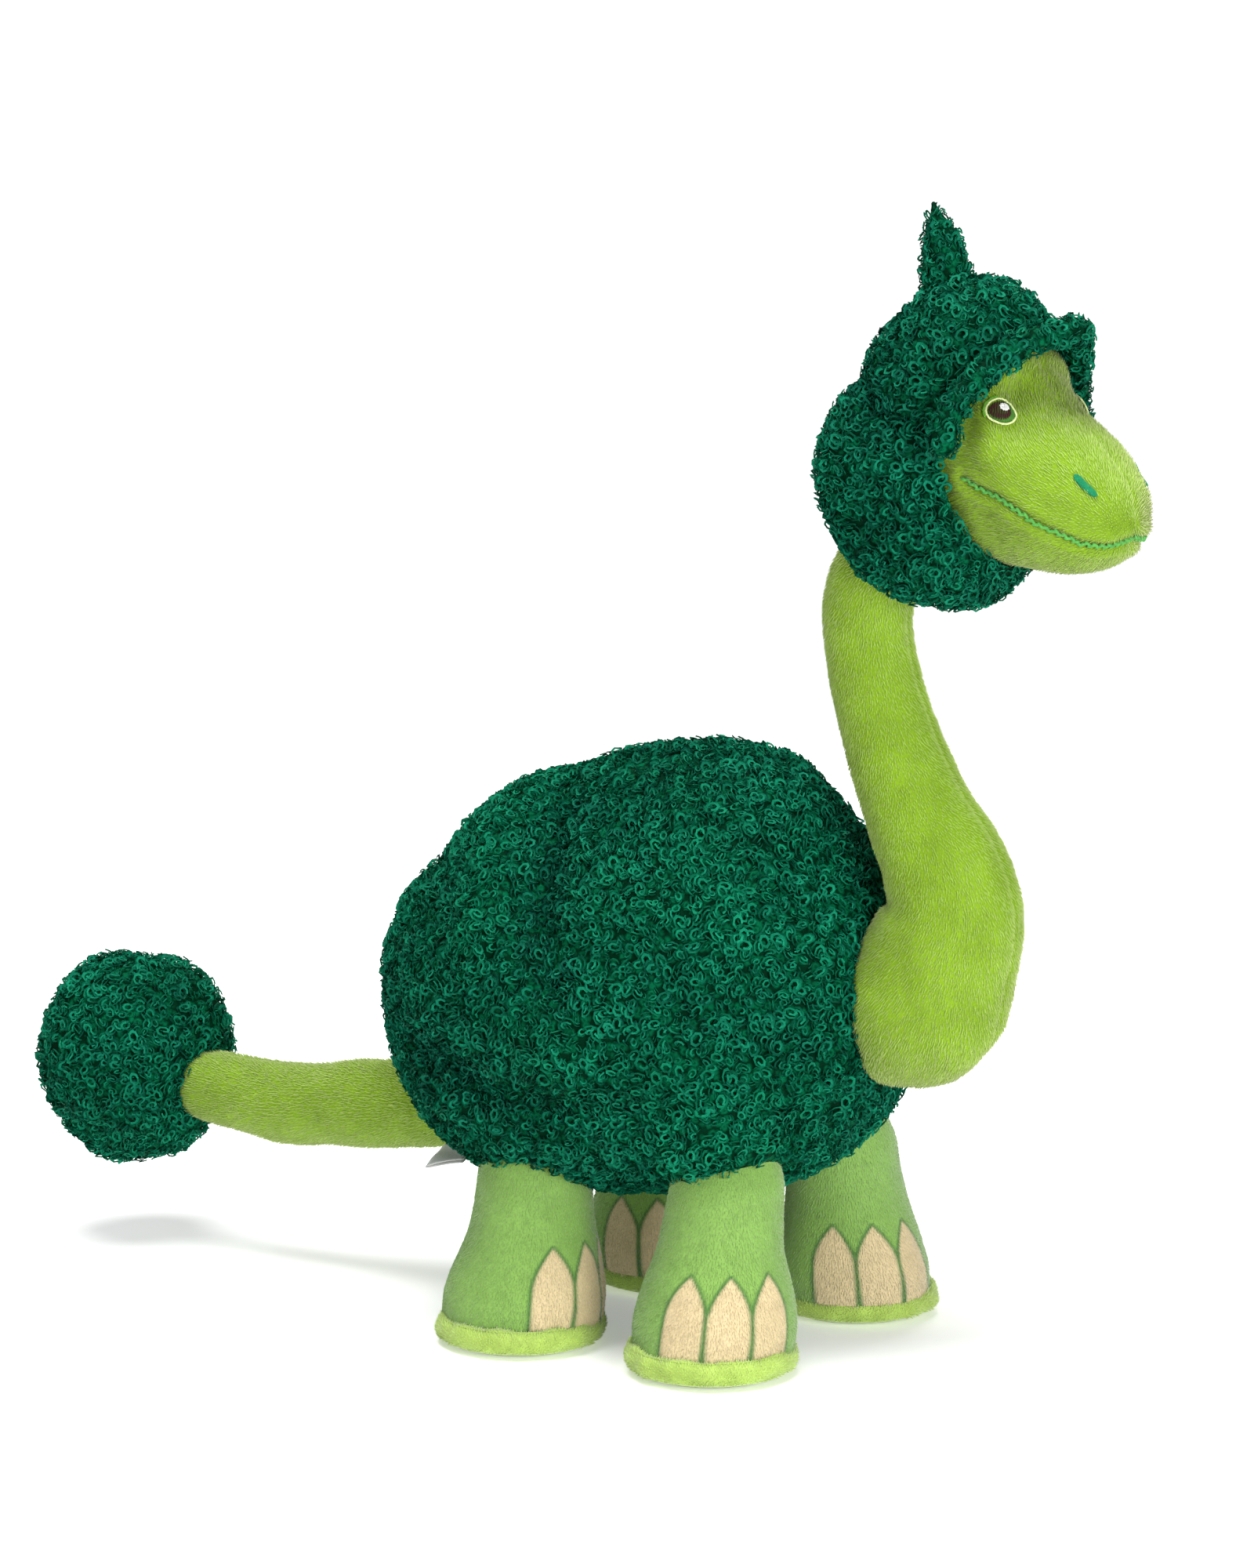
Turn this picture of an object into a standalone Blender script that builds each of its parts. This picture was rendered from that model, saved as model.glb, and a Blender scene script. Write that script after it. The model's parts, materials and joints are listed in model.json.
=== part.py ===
"""A stuffed dinosaur that stands on four legs, as an assembly of sewn covers, fillings and trims.

The dinosaur looks along +X, its left is +Y and the floor is z = 0. Every size below is in
millimetres, and the meshes are in metres. Each limb has a round root that turns in a hollow of
its neighbour, about the limb's pivot.
"""

import math

import bmesh
import bpy
from mathutils import Matrix, Vector

MM = 0.001
COLLECTION = "stuffed_dinosaur"
CUTTERS = "cutters"

# Fabrics and clearances
BOUCLE = 3.5  # curly cover, with its pile
PLUSH = 2.0  # short-pile cover
HORN_COVER = 1.4  # curly cover of the horn
GAP = 0.4  # between two sewn layers that touch
LIMB_GAP = 1.09  # between a bent limb's cover and its filling
SEAM = 1.2  # opening between the two panels of one cover
RUN = 0.9  # clearance round a limb's root
ROUND = 20  # sides of a round form
LIMB_ROUND = 14  # sides of a limb
SOCKET_ROUND = 20  # sides of a hollow that a root turns in
HOLLOW_REACH = 60.0  # length of a hollow's cutter, longer than what it cuts
REACH = 800.0  # side of a cutting box, larger than the dinosaur
STEP = 0.01  # share of a surface over which its slope is taken
LIMB_START = [-1, -0.66, -0.33]  # places on the ball of a limb's root
LIMB_END = [1.4, 1.7, 2]  # places on the ball of its tip

# Torso
TORSO_LENGTH = 162.0
TORSO_WIDTH = 130.0
TORSO_HEIGHT = 130.0
TORSO_X = 29.8  # middle of the torso's length
BELLY_Z = 38.0  # lowest point of the belly
# Latitude in degrees, girth against that of an ellipsoid, forward shift of the section
TORSO_ROWS = [
    (-90, 1.45, -5.0),
    (-60, 1.31, -3.0),
    (-30, 1.08, -1.0),
    (0, 1.00, 0.0),
    (30, 0.877, 7.0),
    (60, 0.77, 17.5),
    (90, 0.70, 20.0),
]
BELLY_LATITUDE = -62.0  # edge of the belly panel

# Neck, from its pivot: forward, up, radius
NECK_SEAT_Z = 101.0
NECK_PROUD = 7.0  # the pivot lies this far in front of the torso
NECK_BACK = 6.0  # degrees the neck leans back from rest
NECK_ROWS = [
    (0.0, 0.0, 24.0),
    (6.0, 16.0, 21.3),
    (7.6, 27.0, 18.7),
    (4.2, 38.0, 17.4),
    (-1.8, 48.0, 15.6),
    (-6.8, 58.5, 14.3),
    (-11.0, 69.0, 13.5),
    (-14.5, 79.5, 13.2),
    (-17.4, 90.0, 13.2),
    (-18.9, 101.0, 13.2),
    (-17.6, 111.0, 13.2),
    (-13.0, 119.5, 13.2),
    (-6.0, 128.0, 13.2),
]

# Hood, from the head's pivot: forward, lowest, highest, half width. The first row is the closed back.
HOOD_ROWS = [
    (-24.0, 18.0, 18.0, 0.0),
    (-20.0, 3.0, 33.0, 17.0),
    (-15.0, -7.0, 40.0, 25.0),
    (-10.0, -14.0, 49.0, 29.5),
    (-4.0, -18.0, 57.0, 32.5),
    (7.0, -21.0, 66.5, 34.5),
    (17.0, -22.0, 69.0, 35.0),
    (26.0, -20.5, 66.5, 34.5),
    (33.0, -15.5, 60.0, 33.5),
    (38.0, -11.3, 53.0, 32.5),
]
HOOD_WIDEST = 0.65  # share of the way along the hood that the filling follows it
HOOD_TOP_REACH = 5.0  # how far the opening's edge lies ahead of the last row, at the top
HOOD_SIDE_REACH = -10.0  # at the cheeks
HOOD_CHIN_REACH = 2.0  # under the chin
HEAD_SLACK = 3.0  # degrees that the neck's upper end may lean in the hood
BRIM_RADIUS = 4.0
BRIM_AHEAD = 4.8  # from the hood's edge to the middle of the roll
BRIM_OUT = 0.8
BRIM_END = 80.0  # degrees from the top, on each side
BRIM_FLARE = 4.5  # how far the corners stand out
BRIM_FLARE_AT = 62.0
BRIM_FLARE_SPREAD = 26.0

# Face, from the head's pivot, as the hood. The last row is the tip of the nose.
FACE_ROWS = [
    (22.0, -4.0, 45.0, 27.0),
    (28.0, -5.0, 47.0, 28.0),
    (36.0, -6.0, 47.5, 28.2),
    (40.0, -7.3, 41.0, 27.8),
    (45.0, -9.2, 32.5, 26.8),
    (50.0, -9.6, 28.0, 25.2),
    (56.0, -9.2, 23.5, 22.0),
    (61.5, -7.0, 18.0, 17.5),
    (65.5, -3.0, 12.0, 11.5),
    (67.5, 4.0, 4.0, 0.0),
]
FACE_START = 0.98  # place along the head's filling where it comes out of the hood, just behind the face
FACE_INSIDE = Vector((20, 0, 15))  # a point inside the face, from the head's pivot
EYE_AT = (38.5, 34.4)  # forward and up from the head's pivot
EYE_WIDTH = 9.2
EYE_HEIGHT = 8.0
NOSTRIL_AT = (60.0, 15.7)
NOSTRIL_LENGTH = 8.0
NOSTRIL_WIDTH = 2.6
NOSTRIL_TILT = 45.0
TRIM_DEPTH = 1.0  # thickness of an embroidered patch
MOUTH_RADIUS = 0.8
MOUTH_ROWS = [(31.0, 14.2), (36.6, 10.4), (46.0, 4.8), (53.0, 0.6), (60.0, -1.6), (64.5, -1.5), (66.4, -1.0)]

# Horn, from its pivot
HORN_FORWARD = 9.5  # from the head's pivot
HORN_SUNK = 3.8  # below the crown
HORN_SWING = 30.0
HORN_ROWS = [(0.0, 0.0, 7.4), (-0.4, 6.0, 7.3), (-1.6, 12.5, 5.8), (-3.0, 18.5, 3.4), (-3.9, 22.0, 1.9)]

# Tail and club, from the tail's pivot
TAIL_SEAT_Z = 54.0
TAIL_PROUD = 1.5
TAIL_SWING = 25.0
TAIL_ROWS = [
    (0.0, 0.0, 13.0),
    (-15.0, -2.0, 13.0),
    (-34.0, -4.0, 12.9),
    (-49.0, -5.6, 12.6),
    (-64.0, -6.2, 12.2),
    (-80.0, -5.0, 11.4),
    (-89.0, -4.0, 10.6),
]
CLUB_SWING = 20.0
CLUB_BEHIND = 23.8  # from the tail's tip to the club's centre
CLUB_ABOVE = 6.0
CLUB_LENGTH = 57.0
CLUB_WIDTH = 57.0
CLUB_HEIGHT = 64.0

# Legs
LEG_FRONT_X = 73.5
LEG_REAR_X = 12.0
HIP_Y = 30.0
FOOT_Y = 40.0
HIP_Z = 58.0
LEG_SWING = 12.0
# Share of the way from the hip to the floor, radius
LEG_ROWS = [(0.0, 17.0), (0.25, 17.3), (0.5, 18.4), (0.72, 20.6), (0.88, 22.6)]
LEG_BALL = 0.4  # place along a leg's surface where the ball of its hip ends
SOLE_HEIGHT = 6.3
RIM_RAISED = 1.0  # rim of the leg's cover over the sole
SOLE_RADIUS = 23.7
# Shares of the sole's radius and height, from its top to the face that meets the floor
SOLE_ROWS = [(0.9, 1.0), (0.975, 0.78), (1.0, 0.5), (0.96, 0.22), (0.775, 0.0)]
POUCH_HEIGHT = 13.0
POUCH_LATITUDES = (45, 10, -10, -45)
POUCH_MARGIN = 1.0  # between the pouch and the cover's inside

# Care label
LABEL_LENGTH = 13.0
LABEL_WIDTH = 9.0
LABEL_THICK = 0.9
LABEL_Y = -15.0
LABEL_BELOW = 1.1  # under the torso
LABEL_DROOP = 14.0  # degrees below level
LABEL_SHARE = 0.315  # of the torso's length, behind its middle

COLOURS = {
    "boucle": (0.010, 0.190, 0.100),
    "plush_lime": (0.340, 0.600, 0.045),
    "plush_leg": (0.190, 0.480, 0.110),
    "sole": (0.380, 0.680, 0.070),
    "filling": (0.850, 0.840, 0.800),
    "pellets": (0.600, 0.580, 0.520),
    "eye": (0.070, 0.012, 0.010),
    "thread": (0.010, 0.330, 0.140),
    "satin": (0.900, 0.900, 0.880),
}
ROUGHNESS = {"eye": 0.35, "thread": 0.4, "satin": 0.3}


def clear_scene():
    for obj in list(bpy.data.objects):
        bpy.data.objects.remove(obj, do_unlink=True)


def make_collection(name):
    collection = bpy.data.collections.new(name)
    bpy.context.scene.collection.children.link(collection)
    return collection


def make_material(name):
    material = bpy.data.materials.new(name)
    material.use_nodes = True
    shader = material.node_tree.nodes["Principled BSDF"]
    shader.inputs["Base Color"].default_value = (*COLOURS[name], 1.0)
    shader.inputs["Roughness"].default_value = ROUGHNESS.get(name, 0.9)
    shader.inputs["Metallic"].default_value = 0.0
    return material


def smooth(rows, at):
    """The row at a place along the list, on a smooth curve through all of them."""
    last = len(rows) - 1
    index = min(int(at), last - 1)
    share = at - index
    before = rows[max(index - 1, 0)]
    after = rows[min(index + 2, last)]
    values = []
    for p0, p1, p2, p3 in zip(before, rows[index], rows[index + 1], after):
        bend = (2 * p0 - 5 * p1 + 4 * p2 - p3) * share**2 + (3 * p1 - p0 - 3 * p2 + p3) * share**3
        values.append(0.5 * (2 * p1 + (p2 - p0) * share + bend))
    return values


def find(rows, value):
    """Where along the list the rows' first number reaches a value."""
    low, high = 0.0, float(len(rows) - 1)
    for _ in range(40):
        middle = (low + high) / 2
        if smooth(rows, middle)[0] < value:
            low = middle
        else:
            high = middle
    return low


def spread(count, start=0.0, end=1.0):
    return [start + (end - start) * index / (count - 1) for index in range(count)]


# ---------------------------------------------------------------- surfaces: a place along, an angle round


def torso_section(latitude):
    girth, shift = smooth(TORSO_ROWS, (latitude + 90) / 30)[1:]
    return girth * math.cos(math.radians(latitude)), TORSO_X + shift


def torso_surface(along, angle):
    """Along runs from the belly, 0, to the back, 1. The angle runs from the front over the left side."""
    latitude = -90 + 180 * along
    girth, middle = torso_section(latitude)
    z = BELLY_Z + TORSO_HEIGHT / 2 * (1 + math.sin(math.radians(latitude)))
    x = middle + TORSO_LENGTH / 2 * girth * math.cos(angle)
    return Vector((x, TORSO_WIDTH / 2 * girth * math.sin(angle), z))


def torso_end(z, direction):
    """The torso's foremost (1) or rearmost (-1) point at a height."""
    latitude = math.degrees(math.asin((z - BELLY_Z) / (TORSO_HEIGHT / 2) - 1))
    girth, middle = torso_section(latitude)
    return middle + direction * TORSO_LENGTH / 2 * girth


def torso_underside(x, y):
    """Height of the torso's lower surface over a place on the floor."""
    low, high = -89.9, 0.0
    for _ in range(40):
        latitude = (low + high) / 2
        girth, middle = torso_section(latitude)
        if math.hypot((x - middle) / (TORSO_LENGTH / 2), y / (TORSO_WIDTH / 2)) > girth:
            low = latitude
        else:
            high = latitude
    return BELLY_Z + TORSO_HEIGHT / 2 * (1 + math.sin(math.radians(low)))


def limb_surface(pivot, rows):
    """A round limb in the plane of symmetry: a ball from -1 to 0, its rows to 1, then a ball from 1 to 2."""
    last = len(rows) - 1

    def centre(at):
        forward, up, radius = smooth(rows, min(max(at, 0.0), last))
        return pivot + Vector((forward, 0, up)), radius

    def surface(along, angle):
        on_rows = min(max(along, 0.0), 1.0) * last
        middle, radius = centre(on_rows)
        ahead, behind = centre(on_rows + STEP)[0], centre(on_rows - STEP)[0]
        tangent = (ahead - behind).normalized()
        beyond = along if along < 0 else max(along - 1, 0.0)
        middle = middle + tangent * radius * math.sin(beyond * math.pi / 2)
        radius *= math.cos(beyond * math.pi / 2)
        front = Vector((0, 1, 0)).cross(tangent)
        return middle + front * radius * math.cos(angle) + Vector((0, radius * math.sin(angle), 0))

    return surface


def hood_surface(along, angle):
    """Along runs from the back, 0, to the opening, 1. The angle runs from the crown over the left side."""
    forward, low, high, half = smooth(HOOD_ROWS, along * (len(HOOD_ROWS) - 1))
    side = math.sin(angle) ** 2
    upright = HOOD_TOP_REACH if math.cos(angle) > 0 else HOOD_CHIN_REACH
    forward += along**2 * (HOOD_SIDE_REACH * side + upright * (1 - side))
    return head_point(forward, low, high, half, angle)


def face_surface(along, angle):
    return head_point(*smooth(FACE_ROWS, along * (len(FACE_ROWS) - 1)), angle)


def head_core_surface(along, angle):
    """The hood from its back, 0, to its widest part, then the face from its hidden rim, 1, to the nose, 2."""
    return hood_surface(along, angle) if along < HOOD_WIDEST else face_surface(along - 1, angle)


def head_point(forward, low, high, half, angle):
    middle, rise = (low + high) / 2, (high - low) / 2
    return HEAD_PIVOT + Vector((forward, half * math.sin(angle), middle + rise * math.cos(angle)))


def on_face(forward, up, side, proud):
    """A point proud of the face, ahead of and above the head's pivot, and the face's normal there."""
    along = find(FACE_ROWS, forward) / (len(FACE_ROWS) - 1)
    low, high = face_surface(along, math.pi)[2], face_surface(along, 0)[2]
    rise = (HEAD_PIVOT[2] + up - (low + high) / 2) / ((high - low) / 2)
    angle = side * math.acos(min(max(rise, -1.0), 1.0))
    around = face_surface(along, angle + STEP) - face_surface(along, angle - STEP)
    ahead = face_surface(min(along + STEP, 1.0), angle) - face_surface(along - STEP, angle)
    normal = ahead.cross(around).normalized()
    point = face_surface(along, angle)
    if normal.dot(point - HEAD_PIVOT - FACE_INSIDE) < 0:
        normal = -normal
    return point + normal * proud, normal


def club_surface(along, angle):
    latitude = math.pi * (along - 0.5)
    level = math.cos(latitude)
    x = CLUB_LENGTH / 2 * math.sin(latitude)
    offset = Vector((x, CLUB_WIDTH / 2 * level * math.sin(angle), CLUB_HEIGHT / 2 * level * math.cos(angle)))
    return CLUB_CENTRE + offset


def leg_surface(hip, foot):
    """Along runs from the top of the hip's ball, 0, by its middle, LEG_BALL, to the rim over the sole, 1."""
    radius = LEG_ROWS[0][1]
    rim = SOLE_HEIGHT + RIM_RAISED

    def surface(along, angle):
        if along < LEG_BALL:
            turn = along / LEG_BALL * math.pi / 2
            middle, level = hip + Vector((0, 0, radius * math.cos(turn))), radius * math.sin(turn)
        else:
            share = (along - LEG_BALL) / (1 - LEG_BALL) * (1 - rim / hip[2])
            middle = hip.lerp(foot, share)
            level = smooth(LEG_ROWS, find(LEG_ROWS, share))[1]
        return middle + Vector((level * math.cos(angle), level * math.sin(angle), 0))

    return surface


# ---------------------------------------------------------------- places that follow from the sizes

NECK_PIVOT = Vector((torso_end(NECK_SEAT_Z, 1) + NECK_PROUD, 0, NECK_SEAT_Z))
TAIL_PIVOT = Vector((torso_end(TAIL_SEAT_Z, -1) - TAIL_PROUD, 0, TAIL_SEAT_Z))
HEAD_PIVOT = NECK_PIVOT + Vector((NECK_ROWS[-1][0], 0, NECK_ROWS[-1][1]))
CLUB_PIVOT = TAIL_PIVOT + Vector((TAIL_ROWS[-1][0], 0, TAIL_ROWS[-1][1]))
CLUB_CENTRE = CLUB_PIVOT + Vector((-CLUB_BEHIND, 0, CLUB_ABOVE))
HORN_TOP = smooth(HOOD_ROWS, find(HOOD_ROWS, HORN_FORWARD))[2]
HORN_PIVOT = HEAD_PIVOT + Vector((HORN_FORWARD, 0, HORN_TOP - HORN_SUNK))
LEGS = {
    f"{end}_{side}": (Vector((x, sign * HIP_Y, HIP_Z)), Vector((x, sign * FOOT_Y, 0)))
    for end, x in (("front", LEG_FRONT_X), ("rear", LEG_REAR_X))
    for side, sign in (("left", 1), ("right", -1))
}


# ---------------------------------------------------------------- mesh building


def link(name, data, material, collection=COLLECTION):
    obj = bpy.data.objects.new(name, data)
    if material:
        data.materials.append(MATERIALS[material])
    bpy.data.collections[collection].objects.link(obj)
    return obj


def finish_mesh(name, bm, material, pivot, collection=COLLECTION):
    """Makes the object with its origin on the pivot of the body that it belongs to."""
    mesh = bpy.data.meshes.new(name)
    bmesh.ops.translate(bm, verts=bm.verts, vec=-pivot)
    bmesh.ops.scale(bm, verts=bm.verts, vec=(MM, MM, MM))
    bm.to_mesh(mesh)
    bm.free()
    mesh.shade_smooth()
    mesh.set_sharp_from_angle(angle=math.radians(50))
    obj = link(name, mesh, material, collection)
    obj.location = pivot * MM
    return obj


def loft(surface, places, sides, start_pole=False, end_pole=False, caps=False):
    """A mesh through a surface's points, all the way round."""
    bm = bmesh.new()
    rows = []
    for index, place in enumerate(places):
        pole = (index == 0 and start_pole) or (index == len(places) - 1 and end_pole)
        angles = [2 * math.pi * column / sides for column in range(1 if pole else sides)]
        rows.append([bm.verts.new(surface(place, angle)) for angle in angles])
    for row, following in zip(rows, rows[1:]):
        for column in range(sides):
            corners = []
            ring = ((row, column), (row, column + 1), (following, column + 1), (following, column))
            for line, place in ring:
                vertex = line[place % len(line)]
                if vertex not in corners:
                    corners.append(vertex)
            bm.faces.new(corners)
    if caps:
        for line in (rows[0], rows[-1]):
            if len(line) > 1:
                bm.faces.new(line)
    return bm


def turn_outwards(bm, closed):
    """Points the faces away from the middle."""
    if closed:
        bmesh.ops.recalc_face_normals(bm, faces=bm.faces)
        return
    bm.normal_update()
    middle = sum((vertex.co for vertex in bm.verts), Vector()) / len(bm.verts)
    outward = sum(face.calc_area() * face.normal.dot(face.calc_center_median() - middle) for face in bm.faces)
    if outward < 0:
        bmesh.ops.reverse_faces(bm, faces=bm.faces)


def cover(name, surface, places, sides, thickness, material, pivot, start_pole=False, end_pole=False):
    """A sheet through the surface, given its thickness inwards."""
    bm = loft(surface, places, sides, start_pole, end_pole)
    turn_outwards(bm, closed=start_pole and end_pole)
    obj = finish_mesh(name, bm, material, pivot)
    wall = obj.modifiers.new("wall", "SOLIDIFY")
    wall.thickness = thickness * MM
    wall.offset = -1
    return obj


def cover_halves(names, *sheet, cutters=(), **ends):
    """The left and right panels of one cover, which meet at a seam in the plane of symmetry."""
    for name, other_side in zip(names, ("seam_right", "seam_left")):
        panel = cover(name, *sheet, **ends)
        cut(panel, bpy.data.objects[other_side], *cutters)


def under(surface, depth, middle_place):
    """The surface that lies a depth inside another, whose middle place parts its start from its end."""

    def inner(along, angle):
        near = along + STEP if along < middle_place else along - STEP
        around = surface(near, angle + STEP) - surface(near, angle - STEP)
        ahead = surface(near + STEP, angle) - surface(near - STEP, angle)
        normal = ahead.cross(around).normalized()
        outward = surface(near, angle) - surface(near, angle + math.pi)
        return surface(along, angle) - normal * math.copysign(depth, normal.dot(outward))

    return inner


def filling(name, surface, places, sides, depth, pivot, start_pole=True, end_pole=True):
    """A closed form that lies a depth under the surface."""
    inner = under(surface, depth, (places[0] + places[-1]) / 2)
    bm = loft(inner, places, sides, start_pole, end_pole, caps=True)
    turn_outwards(bm, closed=True)
    return finish_mesh(name, bm, "filling", pivot)


def turned(name, profile, place, direction, sides, material=None, collection=COLLECTION):
    """A closed form turned about its own Z, whose profile runs from top to bottom."""
    bm = bmesh.new()
    points = [bm.verts.new((radius * MM, 0, height * MM)) for radius, height in profile]
    for first, second in zip(points, points[1:]):
        bm.edges.new((first, second))
    mesh = bpy.data.meshes.new(name)
    bm.to_mesh(mesh)
    bm.free()
    obj = link(name, mesh, material, collection)
    obj.location = place * MM
    obj.rotation_mode = "QUATERNION"
    obj.rotation_quaternion = direction.to_track_quat("Z", "Y")
    screw = obj.modifiers.new("turn", "SCREW")
    screw.steps = screw.render_steps = sides
    screw.use_merge_vertices = True
    screw.merge_threshold = 0.00005
    return obj


def socket(name, pivot, direction, radius, flare):
    """A ball-nosed cone: the room in which a round limb of this radius turns by the flare about its pivot."""
    radius += RUN
    slope = math.radians(flare)
    mouth = radius / math.cos(slope) + HOLLOW_REACH * math.tan(slope)
    profile = [(0, HOLLOW_REACH), (mouth, HOLLOW_REACH)]
    for share in spread(7):
        turn = -slope - (math.pi / 2 - slope) * share
        profile.append((radius * math.cos(turn), radius * math.sin(turn)))
    profile[-1] = (0, -radius)
    obj = turned(name, profile, pivot, direction, SOCKET_ROUND, collection=CUTTERS)
    obj.hide_render = True
    obj.display_type = "WIRE"
    return obj


def seam_cutter(name, side):
    """A box over everything on one side of the seam between a left and a right panel."""
    half = REACH / 2
    bm = bmesh.new()
    bmesh.ops.create_cube(bm, size=REACH, matrix=Matrix.Translation((0, side * (half - SEAM / 2), half)))
    obj = finish_mesh(name, bm, None, Vector(), CUTTERS)
    obj.hide_render = True
    obj.display_type = "WIRE"


def cut(obj, *cutters):
    for cutter in cutters:
        modifier = obj.modifiers.new("cut_" + cutter.name, "BOOLEAN")
        modifier.operation = "DIFFERENCE"
        modifier.object = cutter


def tube(name, points, radius, material, pivot):
    curve = bpy.data.curves.new(name, "CURVE")
    curve.dimensions = "3D"
    curve.bevel_depth = radius * MM
    curve.bevel_resolution = 2
    curve.use_fill_caps = True
    spline = curve.splines.new("POLY")
    spline.points.add(len(points) - 1)
    for target, point in zip(spline.points, points):
        target.co = (*((point - pivot) * MM), 1)
    obj = link(name, curve, material)
    obj.location = pivot * MM
    return obj


# ---------------------------------------------------------------- sub-parts


def build_torso(sockets):
    belly = (BELLY_LATITUDE + 90) / 180
    opening = SEAM / (math.pi * TORSO_HEIGHT / 2)
    bottom = spread(4, 0, belly)
    origin = Vector((TORSO_X, 0, BELLY_Z + TORSO_HEIGHT / 2))
    names = ("torso_cover_left", "torso_cover_right")
    rise = spread(12, belly + opening, 1)
    sheet = (torso_surface, rise, ROUND, BOUCLE, "boucle", origin)
    cover_halves(names, *sheet, cutters=sockets, end_pole=True)
    panel = cover("belly_panel", torso_surface, bottom, ROUND, BOUCLE, "boucle", origin, start_pole=True)
    cut(panel, *sockets)
    core = filling("torso_stuffing", torso_surface, bottom[:-1] + rise, ROUND, BOUCLE + GAP, origin)
    cut(core, *sockets)


def build_label():
    """A flat loop of ribbon, whose sewn end is at the pivot."""
    bpy.ops.mesh.primitive_cube_add(size=1)
    obj = bpy.context.object
    obj.name = obj.data.name = "care_label"
    size = Vector((LABEL_LENGTH, LABEL_WIDTH, LABEL_THICK)) * MM
    centre = Matrix.Translation((-LABEL_LENGTH / 2 * MM, 0, 0))
    obj.data.transform(centre @ Matrix.Diagonal((*size, 1)))
    obj.data.materials.append(MATERIALS["satin"])
    for collection in obj.users_collection:
        collection.objects.unlink(obj)
    bpy.data.collections[COLLECTION].objects.link(obj)
    x = TORSO_X - LABEL_SHARE * TORSO_LENGTH
    z = torso_underside(x, LABEL_Y) - LABEL_BELOW
    obj.location = Vector((x, LABEL_Y, z)) * MM
    obj.rotation_euler = (0, -math.radians(LABEL_DROOP), 0)


def build_limb_halves(name, surface, places, thickness, material, pivot):
    names = (name + "_cover_left", name + "_cover_right")
    poles = {"start_pole": True, "end_pole": True}
    cover_halves(names, surface, places, LIMB_ROUND, thickness, material, pivot, **poles)
    filling(name + "_stuffing", surface, places, LIMB_ROUND, thickness + LIMB_GAP, pivot)


def build_neck():
    places = [*LIMB_START, *spread(13), *LIMB_END]
    build_limb_halves("neck", limb_surface(NECK_PIVOT, NECK_ROWS), places, PLUSH, "plush_lime", NECK_PIVOT)


def build_tail():
    places = [*LIMB_START, *spread(8), *LIMB_END]
    build_limb_halves("tail", limb_surface(TAIL_PIVOT, TAIL_ROWS), places, PLUSH, "plush_lime", TAIL_PIVOT)


def build_head(neck_socket, horn_socket):
    hood_places = [0, 0.05, 0.11, *spread(9, 0.2, 1)]
    face_places = [*spread(9, 0, 0.88), 0.95, 1]
    core_places = [place for place in hood_places if place < HOOD_WIDEST]
    core_places += [FACE_START] + [1 + place for place in face_places[1:]]
    hood = (hood_surface, hood_places, ROUND, BOUCLE, "boucle", HEAD_PIVOT)
    cover_halves(("hood_left", "hood_right"), *hood, cutters=(neck_socket, horn_socket), start_pole=True)
    face = (face_surface, face_places, ROUND, PLUSH, "plush_lime", HEAD_PIVOT)
    cover_halves(("face_cover_left", "face_cover_right"), *face, end_pole=True)
    core = filling("head_stuffing", head_core_surface, core_places, ROUND, BOUCLE + GAP, HEAD_PIVOT)
    cut(core, neck_socket, horn_socket)
    build_brim()
    build_face_trims()


def build_brim():
    """A roll of fabric on the upper edge of the hood's opening, which stands out at its two corners."""
    points = []
    for degrees in spread(13, -BRIM_END, BRIM_END):
        angle = math.radians(degrees)
        edge = hood_surface(1, angle)
        out = Vector((0, math.sin(angle), math.cos(angle)))
        flare = BRIM_FLARE * math.exp(-(((abs(degrees) - BRIM_FLARE_AT) / BRIM_FLARE_SPREAD) ** 2))
        points.append(edge + Vector((BRIM_AHEAD, 0, 0)) + out * (flare + BRIM_OUT))
    tube("hood_brim", points, BRIM_RADIUS, "boucle", HEAD_PIVOT)


def build_face_trims():
    for name, side in (("left", 1), ("right", -1)):
        patch("eye_" + name, EYE_AT, side, EYE_WIDTH, EYE_HEIGHT, 0, "eye")
        patch("nostril_" + name, NOSTRIL_AT, side, NOSTRIL_LENGTH, NOSTRIL_WIDTH, NOSTRIL_TILT, "thread")
    near = []
    for step in range(2 * (len(MOUTH_ROWS) - 1) + 1):
        forward, up = smooth(MOUTH_ROWS, step / 2)
        near.append(on_face(forward, up, 1, MOUTH_RADIUS + GAP)[0])
    far = [Vector((point[0], -point[1], point[2])) for point in reversed(near)]
    near[-1][1] = 0
    tube("mouth_stitch", near + far[1:], MOUTH_RADIUS, "thread", HEAD_PIVOT)


def patch(name, place, side, width, height, tilt, material):
    """A flat embroidered patch that lies on the face."""
    point, normal = on_face(*place, side, GAP + TRIM_DEPTH / 2)
    ahead = Vector((1, 0, 0))
    ahead = (ahead - normal * ahead.dot(normal)).normalized()
    up = normal.cross(ahead) * (1 if normal.cross(ahead)[2] > 0 else -1)
    along = ahead * math.cos(math.radians(tilt)) - up * math.sin(math.radians(tilt))
    across = normal.cross(along)
    bm = bmesh.new()
    bmesh.ops.create_cone(bm, cap_ends=True, segments=16, radius1=0.5, radius2=0.5, depth=TRIM_DEPTH)
    frame = Matrix((along * width, across * height, normal)).transposed().to_4x4()
    bmesh.ops.transform(bm, matrix=Matrix.Translation(point) @ frame, verts=bm.verts)
    bmesh.ops.recalc_face_normals(bm, faces=bm.faces)
    finish_mesh(name, bm, material, HEAD_PIVOT)


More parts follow.
